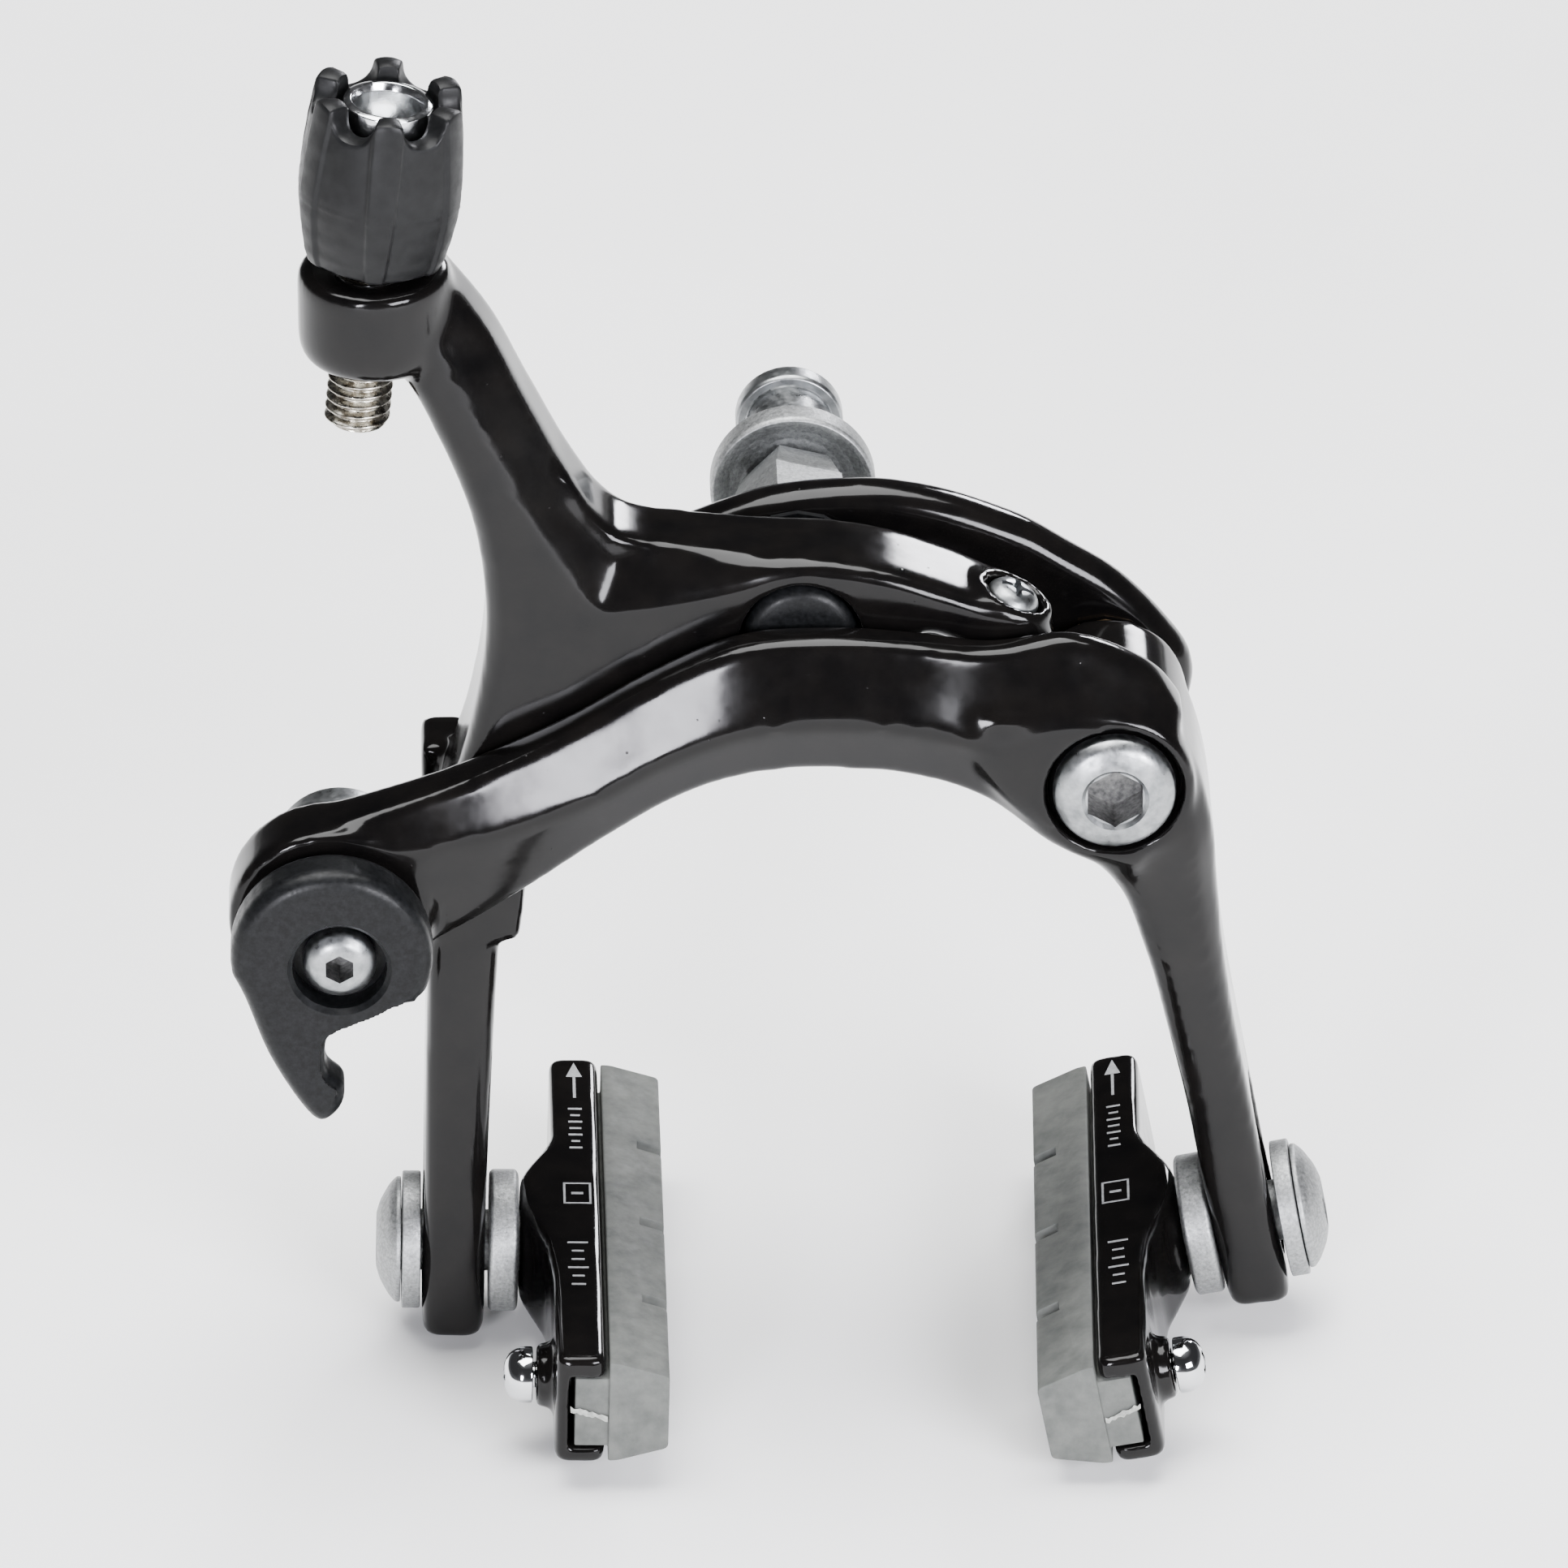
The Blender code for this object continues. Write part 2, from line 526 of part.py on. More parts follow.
def make_quick_release(parts, cutters):
    axis = along_y(QR_AXIS)
    centre_x, centre_z = QR_AXIS
    tail = [(5.2, -4.4), (1.5, -6.2), (-0.7, -7.3), (-1.4, -8.6), (-1.3, -11.2), (0.2, -12.9),
            (-0.1, -15.1), (-1.9, -16.5), (-3.8, -14.6), (-6.6, -9.4)]
    outline = arc((-0.7, 0.6), 9.2, 200, -30, 20) + tail
    placed = [(centre_x + x, centre_z + z) for x, z in outline]
    lever = front_prism("qr_lever", placed, -44.6, -39.2, parts)
    cut(lever,
        primitive("qr_lever_bore", axis, cutters, 2.9, -50, -30, ROUND_STEPS),
        primitive("qr_lever_seat", axis, cutters, 4.3, -50, -41.7, ROUND_STEPS))
    cam = plain_ring("qr_cam", (2.9, 3.9), -38.8, -28.8, axis, parts)
    bolt = turned(
        "qr_bolt",
        [(0, -20.4), (2.2, -20.4), (2.5, -20.8), (2.5, -42.1), (3.2, -42.1), (3.4, -42.4),
         (3.4, -43.4), (2.2, -44.3), (0, -44.4)], axis, parts)
    cut(bolt, primitive("qr_bolt_socket", axis, cutters, 1.3 / math.cos(math.pi / 6), -46, -42.6, 6))
    washer = turned("cable_clamp_washer", ring_profile(2.9, 6.0, -28.2, -26.2), axis, parts, True)
    nut = turned(
        "cable_anchor_nut",
        [(5.4, -20.8), (5.9, -21.4), (5.9, -25.4), (5.4, -25.9), (2.9, -25.9), (2.9, -20.8)],
        axis, parts, closed=True)
    flats = [block("anchor_nut_flat_%d" % side,
                   Matrix.Translation(point(centre_x + side * 8.9, -23.4, centre_z)), cutters,
                   (8.0, 8.0, 14.0)) for side in (-1, 1)]
    cut(nut, *flats)
    return lever, cam, bolt, washer, nut


# ---------------------------------------------------------------- cable adjuster

def adjuster_place():
    lean = (math.sin(ADJUSTER_LEAN), 0.0, math.cos(ADJUSTER_LEAN))
    return along(ADJUSTER_POINT, lean)


def make_adjuster(parts, cutters):
    place = adjuster_place()
    barrel = turned(
        "adjuster_barrel",
        [(3.9, 20.9), (4.05, 20.7), (4.05, 14.6), (2.95, 13.6), (2.95, -11.3), (2.5, -11.8),
         (1.1, -11.8), (1.1, 16.6), (3.05, 17.2), (3.05, 20.9)],
        place, parts, closed=True)
    knob = turned(
        "adjuster_knob",
        [(6.3, 21.8), (7.0, 21.1), (7.4, 17.5), (7.8, 13.0), (7.2, 9.2), (6.3, 5.4),
         (3.4, 5.4), (3.4, 12.9), (4.5, 13.9), (4.5, 21.8)],
        place, parts, closed=True, steps=36)
    for tab in range(KNOB_TABS):
        angle = 2 * math.pi * (tab + 0.5) / KNOB_TABS
        turn = Matrix.Rotation(angle, 4, "Z")
        radial = turn @ Matrix.Translation(point(6.0, 0.0, 22.1)) @ Matrix.Rotation(math.pi / 2, 4, "Y")
        cut(knob, primitive("knob_scallop_%d" % tab, place @ radial, cutters, 2.1, -4, 4, 12))
    return barrel, knob


def centring_place():
    lean = (math.sin(CENTRING_LEAN), 0.0, math.cos(CENTRING_LEAN))
    return along((CENTRING_SEAT[0], CENTRING_Y, CENTRING_SEAT[1]), lean)


def make_centring_screw(parts, cutters):
    place = centring_place()
    screw = turned(
        "centring_screw",
        [(0, 1.1), (1.6, 0.9), (2.4, 0.2), (2.5, -0.8), (1.5, -0.8), (1.5, -5.4), (1.1, -5.8),
         (0, -5.8)], place, parts, steps=16)
    cut(screw, primitive("centring_screw_socket", place, cutters, 1.25, -0.3, 3.0, 6))
    return screw


# ---------------------------------------------------------------- brake shoes

def make_shoe(name, side, shoe, parts, cutters):
    """One brake shoe with its hardware; side is -1 for the left leg and 1 for the right."""
    (leg_x, bolt_z), tilt, reach, yaw, pitch = shoe
    outward = Vector((side * math.cos(tilt), 0.0, -side * math.sin(tilt)))
    hardware = along((leg_x, PAD_BOLT_Y, bolt_z), outward)
    half = LEG_THICKNESS / 2
    outer_washer = turned(
        name + "_outer_washer", ring_profile(M6_BORE, 6.4, half + 0.3, half + 1.8), hardware, parts, True)
    bolt = turned(
        name + "_pad_bolt",
        [(0, half + 4.6), (2.6, half + 4.3), (4.6, half + 3.5), (5.9, half + 2.5), (5.9, half + 2.1),
         (2.85, half + 2.1), (2.85, -half - 3.2), (2.5, -half - 3.5), (0, -half - 3.5)], hardware, parts)
    cut(bolt, primitive(name + "_pad_bolt_socket", hardware, cutters, 2.05 / math.cos(math.pi / 6),
                        half + 2.4, half + 8, 6))
    inner_washer = turned(
        name + "_inner_washer",
        [(6.3, -half - 0.3), (6.6, -half - 0.6), (6.6, -half - 2.5), (6.3, -half - 2.8),
         (M6_BORE, -half - 2.8), (M6_BORE, -half - 0.3)], hardware, parts, closed=True)

    # The shoe's own frame: local X runs outward from the pad's face, local Z stays up
    mirror = Matrix.Rotation(0.0 if side > 0 else math.pi, 4, "Z")
    seat = (Matrix.Translation(point(leg_x, PAD_BOLT_Y, bolt_z)) @ Matrix.Rotation(tilt, 4, "Y")
            @ Matrix.Rotation(pitch, 4, "X") @ Matrix.Translation(point(-side * reach, 0, 0))
            @ Matrix.Rotation(yaw, 4, "Z") @ mirror)
    ahead = -PAD_AHEAD * side
    holder_low, holder_high = PAD_DEPTH + 0.3, PAD_DEPTH + HOLDER_DEPTH
    post_end = -half - 3.1
    post_root = holder_low + 2.6 - reach
    holder = block(
        name + "_pad_holder",
        seat @ Matrix.Translation(point((holder_low + holder_high) / 2, ahead, -PAD_BELOW)),
        parts, (holder_high - holder_low, PAD_LENGTH, HOLDER_HEIGHT), 1.0)
    post = turned(
        name + "_holder_post",
        [(0, post_end), (5.0, post_end), (6.0, post_end - 1.2), (8.0, holder_high - 0.2 - reach),
         (8.0, post_root), (0, post_root)], hardware, cutters)
    screw_place = seat @ Matrix.Translation(point(0, -PAD_SCREW_AHEAD * side, -PAD_BELOW))
    screw_place = screw_place @ Matrix.Rotation(math.pi / 2, 4, "Y")
    screw_boss = primitive(name + "_screw_boss", screw_place, cutters, 2.9,
                           holder_low + 2.6, holder_high + 1.7, 16)
    join(holder, post, screw_boss)
    channel = block(
        name + "_holder_channel",
        seat @ Matrix.Translation(point(PAD_DEPTH + 0.7, ahead - 3.0 * side, -PAD_BELOW)),
        cutters, (4.8, PAD_LENGTH, 6.4))
    cut(holder, channel,
        primitive(name + "_post_bore", hardware, cutters, 4.0, post_root - 2.0, post_end + 2, HIDDEN_STEPS),
        primitive(name + "_screw_bore", screw_place, cutters, 1.5, holder_low, holder_high + 6, 12))

    top, base = PAD_HEIGHT / 2 - PAD_BELOW, -PAD_HEIGHT / 2 - PAD_BELOW
    section = [(PAD_DEPTH, top), (0.6, top - PAD_INSET + 0.4), (0.0, top - PAD_INSET),
               (0.0, base + PAD_INSET), (0.6, base + PAD_INSET - 0.4), (PAD_DEPTH, base)]
    lengthwise = seat @ Matrix.Rotation(math.pi / 2, 4, "X")
    insert = prism(name + "_pad_insert", section, -ahead - PAD_LENGTH / 2, -ahead + PAD_LENGTH / 2,
                   lengthwise, parts)
    tongue = block(
        name + "_pad_tongue",
        seat @ Matrix.Translation(point(PAD_DEPTH + 0.4, ahead - 3.4 * side, -PAD_BELOW)),
        cutters, (4.4, PAD_LENGTH - 7.2, 5.6))
    join(insert, tongue)
    for slot in (-1, 0, 1):
        cut(insert, block("%s_pad_slot_%d" % (name, slot + 2),
                          seat @ Matrix.Translation(point(0, ahead + 14.0 * slot, 0)),
                          cutters, (3.6, 1.2, 24.0)))
    screw = turned(
        name + "_pad_screw",
        [(0, holder_high + 4.7), (1.6, holder_high + 4.3), (2.6, holder_high + 3.1),
         (2.6, holder_high + 2.0), (1.2, holder_high + 2.0), (1.2, holder_low + 3.0),
         (0, holder_low + 3.0)], screw_place, parts, steps=16)
    return bolt, outer_washer, inner_washer, holder, insert, screw


# ---------------------------------------------------------------- assembly

def build():
    clear_scene()
    parts = new_collection(OBJECT_NAME)
    cutters = new_collection(OBJECT_NAME + "_cutters")

    black_paint = make_material("gloss_black_paint", (0.012, 0.012, 0.013), 0.12, 0.0)
    black_plastic = make_material("black_plastic", (0.020, 0.020, 0.021), 0.45, 0.0)
    zinc = make_material("zinc_plated_steel", (0.56, 0.58, 0.60), 0.32, 1.0)
    blasted = make_material("blasted_aluminium", (0.50, 0.51, 0.52), 0.55, 1.0)
    chrome = make_material("chromed_steel", (0.70, 0.71, 0.72), 0.12, 1.0)
    bronze = make_material("bronze_bush", (0.42, 0.28, 0.14), 0.35, 1.0)
    spring_steel = make_material("spring_steel", (0.30, 0.31, 0.32), 0.30, 1.0)
    rubber = make_material("grey_pad_compound", (0.17, 0.17, 0.15), 0.80, 0.0)

    bolt, washer, nut, spacer, rear_washer, centre_bush, front_washer, cap = make_mounting(
        parts, cutters)
    bracket = make_bracket(parts, cutters)
    side_bolt, side_bush, side_washer = make_side_pivot(parts, cutters)
    spring, spring_holder = make_spring(parts)
    left_arm = make_left_arm(parts, cutters)
    right_arm = make_right_arm(parts, cutters)
    lever, cam, qr_bolt, clamp_washer, anchor_nut = make_quick_release(parts, cutters)
    barrel, knob = make_adjuster(parts, cutters)
    centring_screw = make_centring_screw(parts, cutters)
    left_shoe = make_shoe("left", -1, LEFT_SHOE, parts, cutters)
    right_shoe = make_shoe("right", 1, RIGHT_SHOE, parts, cutters)

    paint(black_paint, bracket, left_arm, right_arm, left_shoe[3], right_shoe[3])
    paint(black_plastic, lever, knob, spring_holder)
    paint(zinc, bolt, nut, cap, side_bolt, qr_bolt, clamp_washer, anchor_nut, centring_screw,
          left_shoe[0], right_shoe[0])
    paint(blasted, washer, spacer, barrel, left_shoe[1], left_shoe[2], right_shoe[1], right_shoe[2])
    paint(chrome, left_shoe[5], right_shoe[5])
    paint(bronze, centre_bush, side_bush, front_washer, rear_washer, side_washer)
    paint(spring_steel, spring, cam)
    paint(rubber, left_shoe[4], right_shoe[4])

    left_joint = joint_empty("left_arm_axis", (CENTRE_PIVOT[0], YARM_REAR, CENTRE_PIVOT[1]), parts)
    right_joint = joint_empty("right_arm_axis", (SIDE_PIVOT[0], YARM_REAR, SIDE_PIVOT[1]), parts)
    set_origin(left_arm, (CENTRE_PIVOT[0], YARM_REAR, CENTRE_PIVOT[1]))
    set_origin(right_arm, (SIDE_PIVOT[0], YARM_REAR, SIDE_PIVOT[1]))
    carry(left_joint, left_arm, barrel, knob, centring_screw, *left_shoe)
    carry(right_joint, right_arm, lever, cam, qr_bolt, clamp_washer, anchor_nut, *right_shoe)

    for cutter in cutters.objects:
        cutter.display_type = "WIRE"
        cutter.hide_render = True
    for item in parts.objects:
        if item.type == "MESH":
            shade(item.data)


build()
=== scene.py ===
"""Looks of the dual-pivot brake caliper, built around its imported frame.

Lengths are in millimetres in the tables below and become metres through MM.
"""
import math
import random

import bmesh
import bpy
from mathutils import Matrix, Vector


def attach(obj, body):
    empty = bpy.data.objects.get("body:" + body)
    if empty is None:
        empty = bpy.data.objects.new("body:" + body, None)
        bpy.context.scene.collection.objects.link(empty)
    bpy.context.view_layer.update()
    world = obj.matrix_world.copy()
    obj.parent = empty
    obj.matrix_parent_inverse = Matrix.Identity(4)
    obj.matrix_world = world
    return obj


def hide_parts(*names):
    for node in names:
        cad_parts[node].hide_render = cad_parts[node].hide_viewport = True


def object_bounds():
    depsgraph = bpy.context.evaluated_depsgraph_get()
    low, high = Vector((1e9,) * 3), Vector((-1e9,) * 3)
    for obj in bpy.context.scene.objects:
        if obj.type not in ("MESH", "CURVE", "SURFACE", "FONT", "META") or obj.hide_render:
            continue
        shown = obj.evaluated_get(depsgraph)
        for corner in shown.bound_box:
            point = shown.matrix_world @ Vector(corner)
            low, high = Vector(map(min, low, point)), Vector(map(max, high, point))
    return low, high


MM = 0.001
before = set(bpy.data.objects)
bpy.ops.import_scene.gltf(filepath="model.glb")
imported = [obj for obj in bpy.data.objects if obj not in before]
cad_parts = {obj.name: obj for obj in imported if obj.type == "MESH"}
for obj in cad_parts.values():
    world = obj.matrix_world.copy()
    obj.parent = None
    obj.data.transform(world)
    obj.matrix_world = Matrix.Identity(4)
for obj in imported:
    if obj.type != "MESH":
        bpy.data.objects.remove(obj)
cad_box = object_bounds()

# Layout shared with the CAD: axes along Y as (x, z), and depths along Y
SIDE_PIVOT = (28.2, -12.0)
QR_AXIS = (-42.2, -26.0)
QR_BOSS = (-43.0, -24.6)
ADJUSTER_POINT = (-38.8, -25.0, 31.8)
ADJUSTER_LEAN = math.radians(5.8)
CENTRING_POINT = (19.4, -27.0, 2.2)
CENTRING_LEAN = math.radians(25.0)
PAD_BOLT_Y = -25.0
LEG_HALF = 2.9
LEG_FRONT = -31.0
LEG_REAR = -19.0

# Each shoe's side, pad bolt as (x, z), tilt, distance from pad bolt to pad face, yaw and pitch
SHOES = {
    "left": (-1, (-32.1, -66.8), math.radians(1.5), 19.4, 0.0, math.radians(-1.1)),
    "right": (1, (41.7, -65.3), math.radians(-10.8), 19.6, math.radians(-1.6), math.radians(-1.1)),
}
ORIGIN = (0.0, 0.0)

# Depths of the skins along Y: the left arm's body, the right arm's band and the bracket
LEFT_FRONT = -31.1
LEFT_REAR = -19.8
BAND_FRONT = -38.5
BAND_REAR = -31.6
BRACKET_FRONT = -17.4
BRACKET_REAR = -12.4

# Radii of holes
M6_BORE = 3.3
PIVOT_BORE = 4.7
SLOT_RADIUS = 3.25

# Shoes, in their own frames: X from the pad's face to the leg, Y along the shoe, Z up
WASHER_GAP = 0.28
PAD_AHEAD = 3.0
PAD_HALF = 27.0
HOLDER_INNER, HOLDER_OUTER = 5.8, 10.4
HOLDER_TOP, HOLDER_BASE = 5.1, -6.1

# Skin of the arms: voxel sizes and rounds of smoothing, first before and then after the holes
COARSE_VOXEL = 0.5
FINE_VOXEL = 0.34
MELT_ROUNDS = 11
FINISH_ROUNDS = 6


# ---------------------------------------------------------------- places and meshes

def point(x, y, z):
    return Vector((x, y, z)) * MM


def along(location, direction):
    """Place whose local Z points along direction."""
    turn = Vector(direction).to_track_quat("Z", "Y").to_matrix().to_4x4()
    return Matrix.Translation(point(*location)) @ turn


def along_y(axis):
    """Place whose local Z is +Y, on an axis given as (x, z)."""
    return Matrix.Translation(point(axis[0], 0.0, axis[1])) @ Matrix.Rotation(-math.pi / 2, 4, "X")


def new_object(name, work, place=Matrix.Identity(4)):
    """Object from a bmesh given in millimetres, with its place baked into the mesh."""
    mesh = bpy.data.meshes.new(name)
    work.to_mesh(mesh)
    work.free()
    mesh.transform(Matrix.Diagonal((MM, MM, MM, 1.0)))
    mesh.transform(place)
    item = bpy.data.objects.new(name, mesh)
    bpy.context.scene.collection.objects.link(item)
    return item


def bake(item):
    """Applies every modifier."""
    graph = bpy.context.evaluated_depsgraph_get()
    mesh = bpy.data.meshes.new_from_object(item.evaluated_get(graph))
    item.modifiers.clear()
    item.data = mesh


def discard(*items):
    for item in items:
        bpy.data.objects.remove(item, do_unlink=True)


def shade(item, angle=32):
    item.data.shade_smooth()
    item.data.set_sharp_from_angle(angle=math.radians(angle))
    return item


def boolean(item, others, operation="DIFFERENCE"):
    for other in others:
        step = item.modifiers.new("Cut", "BOOLEAN")
        step.operation = operation
        step.solver = "EXACT"
        step.object = other
    bake(item)
    discard(*others)


def soften(item, width, segments=2, angle=35, clamp=True):
    """Rounds the sharp edges with a bevel, and bakes it."""
    step = item.modifiers.new("Soften", "BEVEL")
    step.width = width * MM
    step.segments = segments
    step.limit_method = "ANGLE"
    step.angle_limit = math.radians(angle)
    step.use_clamp_overlap = clamp
    bake(item)


def thicken(item, thickness, offset):
    """Turns a sheet into a solid, and bakes it."""
    step = item.modifiers.new("Thick", "SOLIDIFY")
    step.thickness = thickness * MM
    step.offset = offset
    bake(item)


def merge(name, items):
    """One mesh holding all the items' shells."""
    work = bmesh.new()
    for item in items:
        item.data.transform(item.matrix_world)
        work.from_mesh(item.data)
    bmesh.ops.scale(work, vec=Vector((1, 1, 1)) / MM, verts=work.verts)
    merged = new_object(name, work)
    discard(*items)
    return merged


def voxel_skin(item, voxel):
    step = item.modifiers.new("Fuse", "REMESH")
    step.mode = "VOXEL"
    step.voxel_size = voxel * MM


def fuse(item, voxel, rounds):
    """Melts overlapping shells into one skin and smooths it, as a forging's fillets are."""
    voxel_skin(item, voxel)
    smooth = item.modifiers.new("Smooth", "SMOOTH")
    smooth.factor = 0.5
    smooth.iterations = rounds
    bake(item)
    item.data.shade_smooth()


def melt(arm):
    """Turns an arm's separate bodies into one smooth skin that is fine enough to be cut."""
    fuse(arm, COARSE_VOXEL, MELT_ROUNDS)
    voxel_skin(arm, FINE_VOXEL)
    bake(arm)


def fillet(profile, radius, closed, steps=3):
    """Rounds each corner of a profile; a corner may carry its own radius as a third number."""
    result = []
    count = len(profile)
    for index, corner in enumerate(profile):
        here = Vector(corner[:2])
        if not closed and index in (0, count - 1):
            result.append(tuple(here))
            continue
        before = Vector(profile[index - 1][:2]) - here
        after = Vector(profile[(index + 1) % count][:2]) - here
        size = corner[2] if len(corner) > 2 else radius
        size = min(size, before.length * 0.45, after.length * 0.45)
        if size < 0.01 or abs(before.angle(after) - math.pi) < 0.05:
            result.append(tuple(here))
            continue
        start, end = here + before.normalized() * size, here + after.normalized() * size
        for step in range(steps + 1):
            t = step / steps
            result.append(tuple(start * (1 - t) ** 2 + here * 2 * t * (1 - t) + end * t * t))
    return result


def lathe(name, profile, place, closed=False, steps=96):
    """Solid of revolution about local Z from a (radius, height) profile with rounded corners."""
    line = fillet(profile, 0.2, closed)
    work = bmesh.new()
    rings = []
    for distance, height in line:
        if distance < 1e-6:
            rings.append([work.verts.new((0.0, 0.0, height))])
        else:
            rings.append([work.verts.new((distance * math.cos(2 * math.pi * i / steps),
                                          distance * math.sin(2 * math.pi * i / steps), height))
                          for i in range(steps)])
    pairs = list(zip(rings, rings[1:]))
    if closed:
        pairs.append((rings[-1], rings[0]))
    for low, high in pairs:
        for i in range(steps):
            j = (i + 1) % steps
            if len(low) == 1 and len(high) == 1:
                continue
            if len(low) == 1:
                work.faces.new((low[0], high[i], high[j]))
            elif len(high) == 1:
                work.faces.new((low[i], high[0], low[j]))
            else:
                work.faces.new((low[i], high[i], high[j], low[j]))
    bmesh.ops.recalc_face_normals(work, faces=work.faces)
    return shade(new_object(name, work, place))


def rod(name, place, radius, low, high, sides=64):
    """Closed cylinder along local Z."""
    return cone(name, place, radius, radius, low, high, sides)


def cone(name, place, low_radius, high_radius, low, high, sides=64):
    work = bmesh.new()
    bmesh.ops.create_cone(work, cap_ends=True, segments=sides, radius1=low_radius,
                          radius2=high_radius, depth=high - low,
                          matrix=Matrix.Translation((0, 0, (low + high) / 2)))
    return new_object(name, work, place)


def box(name, place, centre, size):
    work = bmesh.new()
    bmesh.ops.create_cube(work, size=1.0)
    bmesh.ops.scale(work, vec=Vector(size), verts=work.verts)
    bmesh.ops.translate(work, vec=Vector(centre), verts=work.verts)
    return new_object(name, work, place)


def slab(name, outline, low, high, place):
    """Outline in local XY, extruded along local Z."""
    work = bmesh.new()
    bottom = [work.verts.new((x, y, low)) for x, y in outline]
    top = [work.verts.new((x, y, high)) for x, y in outline]
    work.faces.new(bottom[::-1])
    work.faces.new(top)
    for i in range(len(outline)):
        j = (i + 1) % len(outline)
        work.faces.new((bottom[i], bottom[j], top[j], top[i]))
    bmesh.ops.recalc_face_normals(work, faces=work.faces)
    return new_object(name, work, place)


def front_slab(name, outline, front, rear):
    """Slab whose outline is given as (x, z), from y = front to y = rear."""
    return slab(name, [(x, -z) for x, z in outline], front, rear, along_y(ORIGIN))


def arc(centre, radius, start, end, count):
    return [(centre[0] + radius * math.cos(math.radians(start + (end - start) * i / (count - 1))),
             centre[1] + radius * math.sin(math.radians(start + (end - start) * i / (count - 1))))
            for i in range(count)]


def spline_values(rows, per_span):
    """Catmull-Rom interpolation of rows of numbers."""
    result = []
    for index in range(len(rows) - 1):
        before = rows[max(index - 1, 0)]
        start, end = rows[index], rows[index + 1]
        after = rows[min(index + 2, len(rows) - 1)]
        for step in range(per_span):
            t = step / per_span
            result.append([
                0.5 * (2 * b + (c - a) * t + (2 * a - 5 * b + 4 * c - d) * t ** 2
                       + (3 * b - a - 3 * c + d) * t ** 3)
                for a, b, c, d in zip(before, start, end, after)])
    result.append(list(rows[-1]))
    return result


def forging(name, ribs):
    """Loft along ribs: outer edge, inner edge, front, rear, outer cut, inner cut, back cut."""
    work = bmesh.new()
    rings = []
    for ax, az, bx, bz, front, rear, a_across, a_deep, b_across, b_deep, back in spline_values(ribs, 6):
        start, end = Vector((bx, bz)), Vector((ax, az))
        length = (end - start).length
        unit = (end - start) / length
        corners = [(length, rear - back), (length - back, rear), (back, rear), (0.0, rear - back),
                   (0.0, front + b_deep), (b_across, front), (length - a_across, front),
                   (length, front + a_deep)]
        ring = []
        for across, depth in corners:
            flat = start + unit * across
            ring.append(work.verts.new((flat.x, depth, flat.y)))
        rings.append(ring)
    for ring, following in zip(rings, rings[1:]):
        for i in range(8):
            j = (i + 1) % 8
            work.faces.new((ring[i], ring[j], following[j], following[i]))
    work.faces.new(rings[0])
    work.faces.new(rings[-1])
    bmesh.ops.recalc_face_normals(work, faces=work.faces)
    return new_object(name, work)


def thread(name, place, radius, pitch, low, high, depth, per_turn, per_pitch):
    """Screw thread as one closed skin along local Z, chamfered at both ends."""
    work = bmesh.new()
    rows = int((high - low) / pitch * per_pitch)
    rings = []
    for row in range(rows + 1):
        height = low + (high - low) * row / rows
        near_end = min(height - low, high - height)
        ring = []
        for i in range(per_turn):
            phase = (height / pitch - i / per_turn) % 1.0
            wave = 1.0 - abs(2.0 * phase - 1.0)
            wave = min(max((wave - 0.12) / 0.76, 0.0), 1.0)
            distance = min(radius - depth * (1.0 - wave), radius - depth * 1.1 + near_end * 1.2)
            angle = 2 * math.pi * i / per_turn
            ring.append(work.verts.new((distance * math.cos(angle), distance * math.sin(angle),
                                        height)))
        rings.append(ring)
    for ring, following in zip(rings, rings[1:]):
        for i in range(per_turn):
            j = (i + 1) % per_turn
            work.faces.new((ring[i], ring[j], following[j], following[i]))
    work.faces.new(rings[0][::-1])
    work.faces.new(rings[-1])
    bmesh.ops.recalc_face_normals(work, faces=work.faces)
    item = new_object(name, work, place)
    return shade(item, 50)


# ---------------------------------------------------------------- materials

